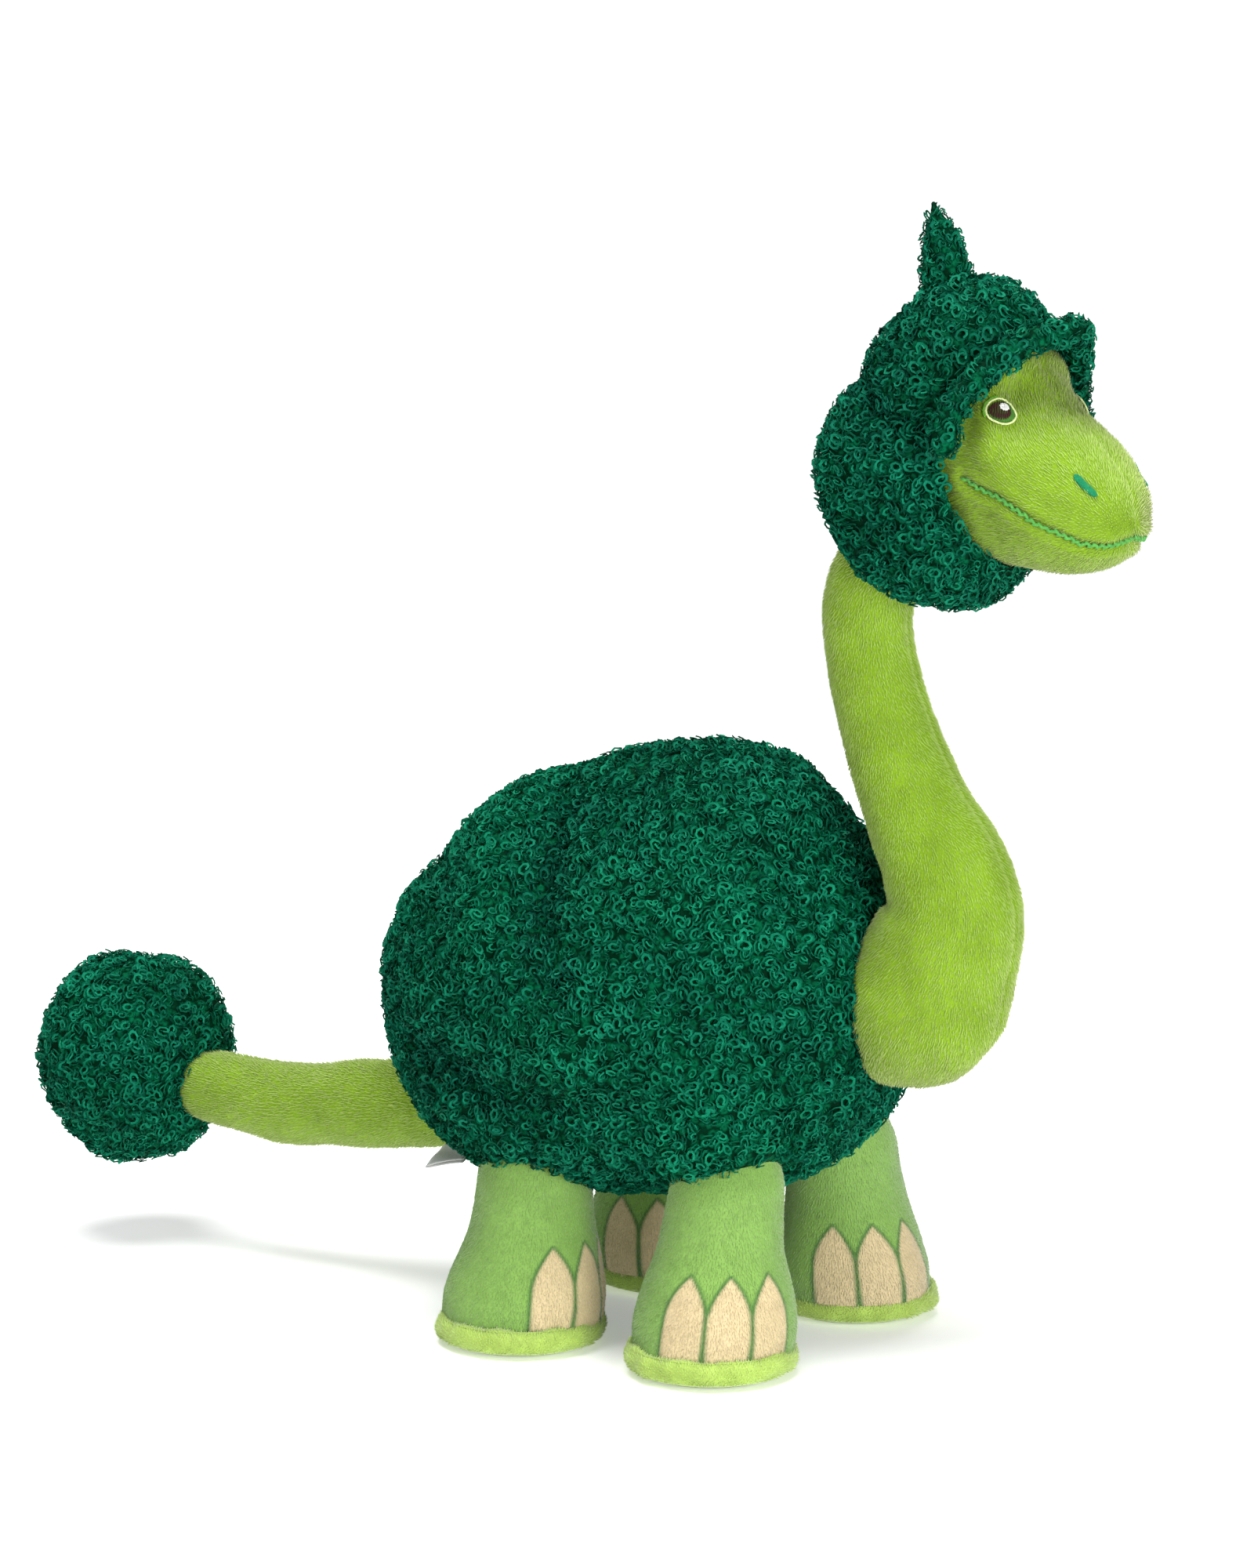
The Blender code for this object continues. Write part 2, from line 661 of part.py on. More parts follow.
def build_horn():
    surface = limb_surface(HORN_PIVOT, HORN_ROWS)
    places = [-0.75, -0.4, *spread(6), 1.5, 2]
    cover("horn_cover", surface, places, LIMB_ROUND, HORN_COVER, "boucle", HORN_PIVOT, end_pole=True)
    filling("horn_stuffing", surface, places[:-3], LIMB_ROUND, HORN_COVER + GAP, HORN_PIVOT, False, False)


def build_club(tail_socket):
    names = ("club_cover_left", "club_cover_right")
    club = (club_surface, spread(10), ROUND, BOUCLE, "boucle", CLUB_CENTRE)
    cover_halves(names, *club, cutters=(tail_socket,), start_pole=True, end_pole=True)
    core = filling("club_stuffing", club_surface, spread(10), ROUND, BOUCLE + GAP, CLUB_CENTRE)
    cut(core, tail_socket)


def build_leg(name, hip, foot):
    surface = leg_surface(hip, foot)
    places = [*spread(3, 0, 0.25), *spread(5, LEG_BALL, 1)]
    cover("leg_cover_" + name, surface, places, LIMB_ROUND, PLUSH, "plush_leg", hip, start_pole=True)
    pouch_bottom = SOLE_HEIGHT + GAP
    pouch_top = pouch_bottom + POUCH_HEIGHT
    fill_end = 1 - (pouch_top + 2 * GAP) / hip[2]
    rim_share = 1 - (SOLE_HEIGHT + RIM_RAISED) / hip[2]
    fill_places = [*places[:4], *spread(3, places[4], LEG_BALL + (1 - LEG_BALL) * fill_end / rim_share)]
    filling("leg_stuffing_" + name, surface, fill_places, LIMB_ROUND, PLUSH + GAP, hip, end_pole=False)
    upright = Vector((0, 0, 1))
    sole_profile = [(SOLE_RADIUS * out, SOLE_HEIGHT * up) for out, up in SOLE_ROWS]
    sole_profile = [(0, SOLE_HEIGHT), *sole_profile, (0, 0)]
    turned("sole_" + name, sole_profile, foot, upright, LIMB_ROUND, "sole")
    foot_middle = foot.lerp(hip, pouch_top / hip[2])
    widest = smooth(LEG_ROWS, find(LEG_ROWS, 1 - pouch_top / hip[2]))[1] - PLUSH - POUCH_MARGIN
    pouch_profile = [(0, POUCH_HEIGHT / 2)]
    for degrees in POUCH_LATITUDES:
        turn = math.radians(degrees)
        pouch_profile.append((widest * math.sqrt(math.cos(turn)), POUCH_HEIGHT / 2 * math.sin(turn)))
    pouch_profile.append((0, -POUCH_HEIGHT / 2))
    place = Vector((foot[0], (foot[1] + foot_middle[1]) / 2, (pouch_bottom + pouch_top) / 2))
    turned("pellet_pouch_" + name, pouch_profile, place, upright, LIMB_ROUND, "pellets")


def neck_end_direction():
    """Back down the line of the neck's upper end."""
    upper = Vector((NECK_ROWS[-1][0], 0, NECK_ROWS[-1][1]))
    lower = Vector((NECK_ROWS[-2][0], 0, NECK_ROWS[-2][1]))
    return (lower - upper).normalized()


def main():
    seam_cutter("seam_left", 1)
    seam_cutter("seam_right", -1)
    neck_rise = Vector((NECK_ROWS[1][0], 0, NECK_ROWS[1][1]))
    torso_sockets = [
        socket("neck_hollow", NECK_PIVOT, neck_rise, NECK_ROWS[0][2], NECK_BACK),
        socket("tail_hollow", TAIL_PIVOT, Vector((-1, 0, -0.1)), TAIL_ROWS[0][2], TAIL_SWING),
    ]
    for name, (hip, foot) in LEGS.items():
        torso_sockets.append(socket("hip_hollow_" + name, hip, foot - hip, LEG_ROWS[0][1], LEG_SWING + 1))
    build_torso(torso_sockets)
    build_label()
    build_neck()
    build_tail()
    head_hollow = socket("head_hollow", HEAD_PIVOT, neck_end_direction(), NECK_ROWS[-1][2], HEAD_SLACK)
    horn_hollow = socket("horn_hollow", HORN_PIVOT, Vector((0, 0, 1)), HORN_ROWS[0][2], HORN_SWING)
    build_head(head_hollow, horn_hollow)
    build_horn()
    club_hollow = socket("club_hollow", CLUB_PIVOT, Vector((1, 0, -0.1)), TAIL_ROWS[-1][2], CLUB_SWING)
    build_club(club_hollow)
    for name, (hip, foot) in LEGS.items():
        build_leg(name, hip, foot)


clear_scene()
make_collection(COLLECTION)
make_collection(CUTTERS)
MATERIALS = {name: make_material(name) for name in COLOURS}
main()
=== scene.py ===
"""A stuffed dinosaur in curly boucle and short plush, with printed feet and an embroidered face.

The sizes below are in millimetres, and the meshes are in metres. Every form is a surface that takes a
place along itself and an angle round itself, as the model that it dresses does.
"""

import itertools
import json
import math

import bmesh
import bpy
import numpy as np
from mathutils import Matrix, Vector, noise
from mathutils.bvhtree import BVHTree


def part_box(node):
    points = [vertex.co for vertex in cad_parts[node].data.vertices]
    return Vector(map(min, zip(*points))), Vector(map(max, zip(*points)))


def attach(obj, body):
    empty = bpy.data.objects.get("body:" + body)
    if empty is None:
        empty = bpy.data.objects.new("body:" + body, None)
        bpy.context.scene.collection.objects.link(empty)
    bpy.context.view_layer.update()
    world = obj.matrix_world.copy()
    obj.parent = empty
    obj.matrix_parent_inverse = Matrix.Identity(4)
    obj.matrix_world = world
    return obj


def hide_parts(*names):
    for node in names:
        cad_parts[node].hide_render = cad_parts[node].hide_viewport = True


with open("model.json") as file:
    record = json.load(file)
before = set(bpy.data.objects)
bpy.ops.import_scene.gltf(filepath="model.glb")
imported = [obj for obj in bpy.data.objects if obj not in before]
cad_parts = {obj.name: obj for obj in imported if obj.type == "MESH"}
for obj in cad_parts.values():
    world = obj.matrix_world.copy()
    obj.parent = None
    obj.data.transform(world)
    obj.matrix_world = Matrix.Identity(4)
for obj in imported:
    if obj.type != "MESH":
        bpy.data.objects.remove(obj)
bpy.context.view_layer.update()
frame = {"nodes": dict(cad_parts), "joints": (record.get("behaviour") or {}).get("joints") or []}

MM = 0.001
PIVOT = {joint["child"]: np.array(joint["pos_m"]) / MM for joint in frame["joints"]}
NECK, HEAD, HORN, TAIL, CLUB = (PIVOT[body] for body in ("neck", "head", "horn", "tail", "club"))
LEG_BODIES = [body for body in PIVOT if body.startswith("leg_")]

# ---------------------------------------------------------------- sizes

TORSO_SIZE = np.array([162.0, 130.0, 130.0])
TORSO_MIDDLE = np.array([29.8, 0.0, 103.0])
# Girth against that of an ellipsoid, forward shift, each 30 degrees from the belly to the back
TORSO_ROWS = [(1.45, -5.0), (1.31, -3.0), (1.08, -1.0), (1.0, 0.0), (0.877, 7.0), (0.77, 17.5), (0.7, 20.0)]
TORSO_SPLIT = 36.0  # where the curls of its front and rear pieces meet
# Start, end, width and depth of each fold. A negative depth raises a ridge
TORSO_FOLDS = [
    ((-6, -24, 146), (-6, 24, 146), 17, -7.0), ((96, -24, 158), (102, -44, 118), 7, 6.5),
    ((66, -40, 156), (84, -54, 124), 9, -3.6), ((17, -34, 152), (24, -57, 128), 9, 8.5),
    ((24, -57, 128), (34, -62, 108), 8, 5.5), ((0, -42, 142), (10, -56, 116), 9, -4.0),
    ((-44, -18, 122), (-34, -36, 119), 11, -3.6), ((-44, -20, 92), (-34, -38, 90), 11, 3.0),
    ((44, -60, 127), (106, -32, 120), 13, -3.6), ((-20, -48, 79), (33, -58, 73), 8, 5.5),
    ((40, -60, 88), (84, -50, 84), 12, -2.0), ((14, 30, 160), (-22, 50, 100), 9, 5.0),
    ((98, 24, 156), (104, 40, 118), 7, 4.0),
]
HIP_BULGE = 6.8  # of the torso over each front leg
# Forward, up, radius, from the neck's pivot
NECK_ROWS = [
    (0.0, 0.0, 24.0), (6.0, 16.0, 21.3), (7.6, 27.0, 18.7), (4.2, 38.0, 17.4), (-1.8, 48.0, 15.6),
    (-6.8, 58.5, 14.3), (-11.0, 69.0, 13.5), (-14.5, 79.5, 13.2), (-17.4, 90.0, 13.2), (-18.9, 101.0, 13.2),
    (-17.6, 111.0, 13.2), (-13.0, 119.5, 13.2), (-6.0, 128.0, 13.2),
]
TAIL_ROWS = [
    (0.0, 0.0, 13.0), (-15.0, -2.0, 13.0), (-34.0, -4.0, 12.9), (-49.0, -5.6, 12.6), (-64.0, -6.2, 12.2),
    (-80.0, -5.0, 11.4), (-89.0, -4.0, 10.6),
]
HORN_ROWS = [(0.0, 0.0, 7.4), (-0.4, 6.0, 7.3), (-1.6, 12.5, 5.8), (-3.0, 18.5, 3.4), (-3.9, 22.0, 1.9)]
# Forward, lowest, highest, half width, from the head's pivot
HOOD_ROWS = [
    (-24.0, 18.0, 18.0, 0.0), (-20.0, 3.0, 33.0, 17.0), (-15.0, -7.0, 40.0, 25.0),
    (-10.0, -14.0, 49.0, 29.5), (-4.0, -18.0, 57.0, 32.5), (7.0, -21.0, 66.5, 34.5),
    (17.0, -22.0, 69.0, 35.0), (26.0, -20.5, 66.5, 34.5), (33.0, -15.5, 60.0, 33.5),
    (38.0, -11.3, 53.0, 32.5),
]
HOOD_TOP_REACH, HOOD_SIDE_REACH, HOOD_CHIN_REACH = 5.0, -14.0, -4.0
HOOD_ROLL = 2.0
# Start and end from the head's pivot, width and depth of the folds on each side of the hood
HOOD_FOLDS = [((-13, 0, 46), (2, 33, 34), 5, 4.5), ((2, 34, 34), (22, 34, 26), 6, 2.6)]
FACE_ROWS = [
    (8.0, -4.0, 42.0, 26.0), (20.0, -7.0, 48.5, 27.4), (28.0, -8.6, 52.0, 28.0),
    (36.0, -9.4, 50.8, 28.2), (40.0, -9.9, 43.5, 27.8), (45.0, -10.4, 35.5, 26.8),
    (50.0, -10.4, 31.0, 25.2), (56.0, -9.6, 26.0, 22.2), (61.5, -7.2, 19.5, 17.8),
    (65.5, -3.2, 12.6, 11.7), (67.5, 4.0, 4.0, 0.0),
]
BRIM_RADIUS, BRIM_AHEAD, BRIM_END = 3.2, 4.4, 82.0
BRIM_FLARE, BRIM_FLARE_AT, BRIM_FLARE_SPREAD = 5.5, 62.0, 26.0
BRIM_ASKEW = -0.05  # rise of the brim for each millimetre towards the left
# Places on the face are forward and up from the head's pivot
EYE_AT = {1: (37.2, 32.0), -1: (38.9, 33.9)}  # the left eye sits a little lower than the right
BRIDGE_DEPTH = {1: 0.8, -1: 2.4}
NOSTRIL_AT, NOSTRIL_SIZE, NOSTRIL_TILT = (60.0, 15.3), (8.0, 2.8), 51.0
MOUTH_ROWS = [
    (30.0, 16.0), (33.7, 13.6), (39.5, 11.6), (45.0, 8.3), (51.5, 4.2), (58.7, -0.2), (63.2, -1.6),
    (65.5, -1.3), (66.5, -0.5),
]
CLUB_MIDDLE = CLUB + np.array([-23.8, 0.0, 6.0])
CLUB_SIZE = np.array([57.0, 57.0, 64.0])
# Share of the way from the hip to the floor, radius
LEG_ROWS = [(0.0, 13.0), (0.12, 15.4), (0.28, 16.3), (0.45, 17.8), (0.6, 20.2), (0.76, 22.6), (0.89, 22.6)]
FOOT_OUT = 10.0
SOLE_HEIGHT = 6.3
# Radius, height
SOLE_ROWS = [
    (0.0, 7.8), (20.0, 7.8), (22.4, 7.2), (23.4, 5.6), (23.2, 3.2), (21.6, 1.2), (18.6, 0.15),
    (17.0, 0.05), (0.0, 0.05),
]
# Degrees round each foot from straight ahead, of the middles of its toenails
NAILS = {
    "leg_front_right": (-84, -49.5, -15),
    "leg_front_left": (-73, -38.5, -4),
    "leg_rear_right": (-37, -2.5, 32),
    "leg_rear_left": (-97, -62.5, -28),
}
NAIL_SPREAD, NAIL_LOW, NAIL_HIGH, NAIL_LINE = 34.5, 4.5, 29.5, 0.65

CURL_SPACING, CURL_RADIUS, YARN_RADIUS = 1.5, 1.32, 0.24
PILE_SPACING, PILE_LENGTH, SHORT_PILE_LENGTH = 0.55, 1.3, 0.9
LABEL_DROOP, LABEL_TILT = 14.0, 0.5
HALF_VIEW = 1000 / 6384  # the tangent of half the view's height
CURL_ROOM, PILE_ROOM = 1.9, 0.8
HOLLOW_SHADE_DEPTH = 8.0  # of a fold whose curls get the darkest painted shade

# ---------------------------------------------------------------- surfaces


def rows_at(rows, at):
    """Each of the rows' values, on a smooth curve through them, at places along the list."""
    rows = np.array(rows, float)
    last = len(rows) - 1
    at = np.asarray(at, float)
    index = np.clip(np.floor(at).astype(int), 0, last - 1)
    share = (at - index)[..., None]
    p0, p1 = rows[np.maximum(index - 1, 0)], rows[index]
    p2, p3 = rows[index + 1], rows[np.minimum(index + 2, last)]
    curve = 2 * p1 + (p2 - p0) * share + (2 * p0 - 5 * p1 + 4 * p2 - p3) * share**2
    return np.moveaxis(0.5 * (curve + (3 * p1 - p0 - 3 * p2 + p3) * share**3), -1, 0)


def stack(*parts):
    return np.stack(np.broadcast_arrays(*parts), -1)


def unit(vectors):
    return vectors / np.maximum(np.linalg.norm(vectors, axis=-1, keepdims=True), 1e-9)


def torso_surface(along, angle):
    girth, shift = rows_at(TORSO_ROWS, along * (len(TORSO_ROWS) - 1))
    level = math.pi * (along - 0.5)
    girth = girth * np.cos(level)
    offset = stack(girth * np.cos(angle), girth * np.sin(angle), np.sin(level)) * TORSO_SIZE / 2
    return TORSO_MIDDLE + offset + stack(shift, 0 * shift, 0 * shift)


def club_surface(along, angle):
    level = math.pi * (along - 0.5)
    girth = np.cos(level)
    return CLUB_MIDDLE + stack(np.sin(level), girth * np.sin(angle), girth * np.cos(angle)) * CLUB_SIZE / 2


def limb_surface(pivot, rows):
    """A round limb: its root's ball from -1, its rows from 0 to 1, its tip's ball to 2."""
    last = len(rows) - 1

    def surface(along, angle):
        on_rows = np.clip(along, 0, 1) * last
        forward, up, radius = rows_at(rows, on_rows)
        ahead = [np.clip(on_rows + step, 0, last) for step in (0.05, -0.05)]
        tangent = unit(np.moveaxis(rows_at(rows, ahead[0])[:2] - rows_at(rows, ahead[1])[:2], 0, -1))
        beyond = np.where(along < 0, along, np.maximum(along - 1, 0)) * math.pi / 2
        bulge, level = radius * np.sin(beyond), radius * np.cos(beyond)
        tx, tz = tangent[..., 0], tangent[..., 1]
        x = forward + tx * bulge + tz * level * np.cos(angle)
        z = up + tz * bulge - tx * level * np.cos(angle)
        return pivot + stack(x, level * np.sin(angle), z)

    return surface


def head_surface(rows, along, angle, reach=0.0):
    forward, low, high, half = rows_at(rows, along * (len(rows) - 1))
    middle, rise = (low + high) / 2, (high - low) / 2
    return HEAD + stack(forward + reach, half * np.sin(angle), middle + rise * np.cos(angle))


def face_surface(along, angle):
    return head_surface(FACE_ROWS, along, angle)


def hood_surface(along, angle):
    """The hood from its back, 0, to its opening, 1, then rolled in towards the face, to 2."""
    outer = np.minimum(along, 1)
    side = np.abs(np.sin(angle)) ** 1.3
    upright = np.where(np.cos(angle) > 0, HOOD_TOP_REACH, HOOD_CHIN_REACH)
    reach = outer**2 * (HOOD_SIDE_REACH * side + upright * (1 - side))
    points = head_surface(HOOD_ROWS, outer, angle, reach)
    roll = np.clip(along - 1, 0, 1) * math.pi
    inward = unit(stack(0 * angle, -np.sin(angle), -np.cos(angle) * np.ones_like(roll)))
    points = points + inward * (HOOD_ROLL * (1 - np.cos(roll)))[..., None]
    return points + stack(HOOD_ROLL * np.sin(roll), 0 * roll, 0 * roll)


def brim_line(angle):
    edge = hood_surface(np.ones_like(angle), angle)
    flare = BRIM_FLARE * np.exp(-(((np.abs(np.degrees(angle)) - BRIM_FLARE_AT) / BRIM_FLARE_SPREAD) ** 2))
    line = edge + stack(BRIM_AHEAD, np.sin(angle) * (flare + 0.8), np.cos(angle) * 0.8 - 0.4 * flare)
    return line + stack(0, 0, BRIM_ASKEW * (line[..., 1] - HEAD[1]))


def brim_surface(along, angle):
    """A roll along the upper edge of the hood's opening, with rounded ends at -0.04 and 1.04."""
    around = np.radians(BRIM_END) * (2 * np.clip(along, 0, 1) - 1)
    middle = brim_line(around)
    tangent = unit(brim_line(around + 0.01) - brim_line(around - 0.01))
    over = np.clip(np.maximum(-along, along - 1) / 0.04, 0, 1)
    radius = BRIM_RADIUS * np.sqrt(np.maximum(1 - over**2, 0))
    middle = middle + tangent * (np.sign(along - 0.5) * over * BRIM_RADIUS)[..., None]
    side = unit(np.cross(tangent, np.array([1.0, 0, 0])))
    ahead = unit(np.cross(side, tangent))
    return middle + (side * np.cos(angle)[..., None] + ahead * np.sin(angle)[..., None]) * radius[..., None]


def leg_surface(hip, foot):
    """A leg from the top of its hip's ball, -1, by the ball's middle, 0, to the sole, 1."""

    def surface(along, angle):
        share = np.clip(along, 0, 1) * (1 - SOLE_HEIGHT / hip[2])
        radius = np.interp(share, *np.array([rows_at(LEG_ROWS, at) for at in np.linspace(0, 6, 61)]).T)
        turn = np.clip(-along, 0, 1) * math.pi / 2
        middle = hip + (foot - hip) * share[..., None]
        level = radius * np.cos(turn)
        return middle + stack(level * np.cos(angle), level * np.sin(angle), radius * np.sin(turn))

    return surface


def sole_surface(foot):
    def surface(along, angle):
        radius, height = rows_at(SOLE_ROWS, along * (len(SOLE_ROWS) - 1))
        radius = np.maximum(radius, 0)
        return foot + stack(radius * np.cos(angle), radius * np.sin(angle), np.maximum(height, 0.05))

    return surface


# ---------------------------------------------------------------- sculpting, each a change along the normal


def lumps(size, height, shift=0.0):
    def change(points, along, angle):
        flat = points.reshape(-1, 3) / size + shift
        return height * np.array([noise.noise(Vector(point)) for point in flat]).reshape(points.shape[:-1])

    return change


def crease(start, end, width, depth):
    """A valley between two points. A negative depth raises a ridge."""
    start, end = np.array(start, float), np.array(end, float)

    def change(points, along, angle):
        return -depth * np.exp(-((distance(points, start, end) / width) ** 2))

    return change


def dimple(middle, width, depth):
    return crease(middle, middle, width, depth)


def inset(depth):
    """Room for the curls or pile that stand on a form."""
    return lambda points, along, angle: -depth


def flat_spot(middle, normal, radius):
    """A patch pressed flat round a point, as embroidery pulls its cloth flat."""

    def change(points, along, angle):
        off = points - middle
        return -(off @ normal) * np.exp(-((np.linalg.norm(off, axis=-1) / radius) ** 4))

    return change


def centre_seam(width, depth):
    def change(points, along, angle):
        return -depth * np.exp(-((points[..., 1] / width) ** 2))

    return change


def distance(points, start, end):
    run = end - start
    share = np.clip((points - start) @ run / max(run @ run, 1e-9), 0, 1)
    return np.linalg.norm(points - start - share[..., None] * run, axis=-1)


def clear_of(points, *limbs):
    """1 where a point is outside every limb, given as its ends and radius, and 0 inside one."""
    clear = np.ones(points.shape[:-1])
    for start, end, radius in limbs:
        clear *= distance(points, np.array(start, float), np.array(end, float)) > radius
    return clear


# ---------------------------------------------------------------- meshes


def save_attribute(mesh, name, values, kind="FLOAT"):
    field = {"FLOAT": "value", "FLOAT_VECTOR": "vector", "FLOAT_COLOR": "color"}[kind]
    values = np.ascontiguousarray(values, np.float32).ravel()
    mesh.attributes.new(name, kind, "POINT").data.foreach_set(field, values)


def link(name, mesh, material=None):
    obj = bpy.data.objects.new(name, mesh)
    bpy.context.scene.collection.objects.link(obj)
    if material:
        mesh.materials.clear()
        mesh.materials.append(material)
    return obj


def outward_normals(points, ahead, poles):
    """The normals of a grid of points, turned outwards, and whether they had to be turned."""
    around = np.roll(points, -1, 1) - np.roll(points, 1, 1)
    normals = unit(np.cross(around, ahead))
    if poles[0]:
        normals[0] = unit(points[0, 0] - points[1].mean(0))
    if poles[1]:
        normals[-1] = unit(points[-1, 0] - points[-2].mean(0))
    inner = slice(1, -1)
    inverted = ((points - points.mean(1, keepdims=True))[inner] * normals[inner]).sum() < 0
    if inverted:
        normals[int(poles[0]):len(points) - int(poles[1])] *= -1
    return normals, inverted


def tube_faces(rows, columns, poles, inverted):
    """The faces of a tube of points, with one point at each pole, and each corner's place on the map."""
    starts = [0]
    for row in range(rows):
        pole = poles[row > 0] and row in (0, rows - 1)
        starts.append(starts[-1] + (1 if pole else columns))
    faces, map_at = [], []
    for row in range(rows - 1):
        first, second = starts[row], starts[row + 1]
        low, high = row / (rows - 1), (row + 1) / (rows - 1)
        for column in range(columns):
            after = (column + 1) % columns
            left, right = column / columns, (column + 1) / columns
            if second - first == 1:
                face = (first, second + after, second + column)
                places = ((left, low), (right, high), (left, high))
            elif starts[row + 2] - second == 1:
                face = (first + column, first + after, second)
                places = ((left, low), (right, low), (left, high))
            else:
                face = (first + column, first + after, second + after, second + column)
                places = ((left, low), (right, low), (right, high), (left, high))
            if inverted:
                face, places = face[::-1], places[::-1]
            faces.append(face)
            map_at.extend(places)
    return faces, map_at


def form(name, surface, along, columns, material, sculpt=(), bare=None, tint=None, flip_nap=False):
    """A sculpted form of fabric that holds its nap, its colour, painted shading for its hollows and bumps,
    and where hairs grow.
    """
    along = np.asarray(along, float)
    turn = np.linspace(0, 2 * math.pi, columns, endpoint=False)
    place, angle = np.meshgrid(along, turn, indexing="ij")
    points = flat = surface(place, angle)
    ahead = np.gradient(points, axis=0)
    poles = [np.ptp(points[row], axis=0).max() < 0.01 for row in (0, -1)]
    normals, inverted = outward_normals(points, ahead, poles)
    for change in sculpt:
        points = points + normals * (change(points, place, angle) * np.ones_like(place))[..., None]
    sunk = -((points - flat) * normals).sum(-1)
    cover = np.ones(place.shape) if bare is None else bare(points, place, angle)
    keep = np.ones(place.shape, bool)
    for row, pole in zip((0, -1), poles):
        if pole:
            keep[row, 1:] = False
    faces, map_at = tube_faces(len(along), columns, poles, inverted)
    mesh = bpy.data.meshes.new(name)
    mesh.from_pydata((points[keep] * MM).tolist(), [], faces)
    mesh.uv_layers.new(name="OFBake").data.foreach_set("uv", np.array(map_at, np.float32).ravel())
    save_attribute(mesh, "nap", unit(ahead)[keep] * (-1 if flip_nap else 1), "FLOAT_VECTOR")
    save_attribute(mesh, "cover", cover[keep])
    # painted shade for the curls where the fabric dips or folds, and painted light where it bulges
    save_attribute(mesh, "painted_hollow_shading", np.clip((sunk - np.median(sunk)) / HOLLOW_SHADE_DEPTH, -0.5, 1)[keep])
    if tint is not None:
        save_attribute(mesh, "tint", tint(points, place, angle)[keep], "FLOAT_COLOR")
    mesh.shade_smooth()
    return link(name, mesh, material)


def cell_map(mesh):
    """Gives each face its own square of the bake map."""
    total = np.empty(len(mesh.polygons), np.int32)
    mesh.polygons.foreach_get("loop_total", total)
    across = math.ceil(math.sqrt(len(total)))
    index = np.repeat(np.arange(len(total)), total)
    corner = np.arange(len(index)) - np.repeat(np.cumsum(total) - total, total)
    corners = np.array([(0.1, 0.1), (0.9, 0.1), (0.9, 0.9), (0.1, 0.9)])
    places = (np.stack([index % across, index // across], 1) + corners[corner % 4]) / across
    mesh.uv_layers.new(name="OFBake").data.foreach_set("uv", places.astype(np.float32).ravel())


def grown(name, fabric, tree, sizes, keep=None):
    """What a Geometry Nodes tree grows on a fabric, as a mesh of its own."""
    base = fabric.copy()
    base.data = fabric.data.copy()
    bpy.context.scene.collection.objects.link(base)
    if keep is not None:
        points = np.empty(len(base.data.vertices) * 3, np.float32)
        base.data.vertices.foreach_get("co", points)
        cover = base.data.attributes["cover"].data
        allowed = np.empty(len(cover), np.float32)
        cover.foreach_get("value", allowed)
        cover.foreach_set("value", (allowed * keep(points.reshape(-1, 3) / MM)).astype(np.float32))
    modifier = base.modifiers.new("grown", "NODES")
    modifier.node_group = tree
    sockets = {item.name: item.identifier for item in tree.interface.items_tree if item.in_out == "INPUT"}
    for label, value in sizes.items():
        modifier[sockets[label]] = value
    graph = bpy.context.evaluated_depsgraph_get()
    evaluated = base.evaluated_get(graph)
    mesh = bpy.data.meshes.new_from_object(evaluated, preserve_all_data_layers=True, depsgraph=graph)
    bpy.data.objects.remove(base)
    for layer in [layer.name for layer in mesh.uv_layers]:
        mesh.uv_layers.remove(mesh.uv_layers[layer])
    cell_map(mesh)
    return link(name, mesh)


# ---------------------------------------------------------------- Geometry Nodes trees


def new_tree(name, sizes):
    tree = bpy.data.node_groups.new(name, "GeometryNodeTree")
    tree.interface.new_socket("Geometry", in_out="INPUT", socket_type="NodeSocketGeometry")
    for label, value in sizes.items():
        kind = "Int" if isinstance(value, int) else "Float"
        if isinstance(value, bpy.types.Material):
            kind = "Material"
        socket = tree.interface.new_socket(label, in_out="INPUT", socket_type="NodeSocket" + kind)
        socket.default_value = value
    tree.interface.new_socket("Geometry", in_out="OUTPUT", socket_type="NodeSocketGeometry")
    return tree, add(tree, "NodeGroupInput"), add(tree, "NodeGroupOutput")


def add(tree, kind, inputs=(), **settings):
    """A node with its settings, whose inputs are values or other nodes' outputs."""
    made = tree.nodes.new(kind)
    for key, value in settings.items():
        setattr(made, key, value)
    for key, value in dict(inputs).items():
        if isinstance(value, bpy.types.NodeSocket):
            tree.links.new(value, made.inputs[key])
        else:
            made.inputs[key].default_value = value
    return made


def math_node(tree, operation, first, second=0.0):
    return add(tree, "ShaderNodeMath", {0: first, 1: second}, operation=operation).outputs[0]


def attribute(tree, name, kind="FLOAT"):
    return add(tree, "GeometryNodeInputNamedAttribute", {"Name": name}, data_type=kind).outputs["Attribute"]


def store(tree, geometry, name, value):
    inputs = {"Geometry": geometry, "Name": name, "Value": value}
    return add(tree, "GeometryNodeStoreNamedAttribute", inputs).outputs["Geometry"]


def random_float(tree, low, high, seed):
    made = add(tree, "FunctionNodeRandomValue", data_type="FLOAT")
    floats = [socket for socket in made.inputs if socket.type == "VALUE" and socket.enabled]
    floats[0].default_value, floats[1].default_value = low, high
    link_or_set(tree, made.inputs["Seed"], seed)
    return next(socket for socket in made.outputs if socket.enabled)


def link_or_set(tree, socket, value):
    if isinstance(value, bpy.types.NodeSocket):
        tree.links.new(value, socket)
    else:
        socket.default_value = value


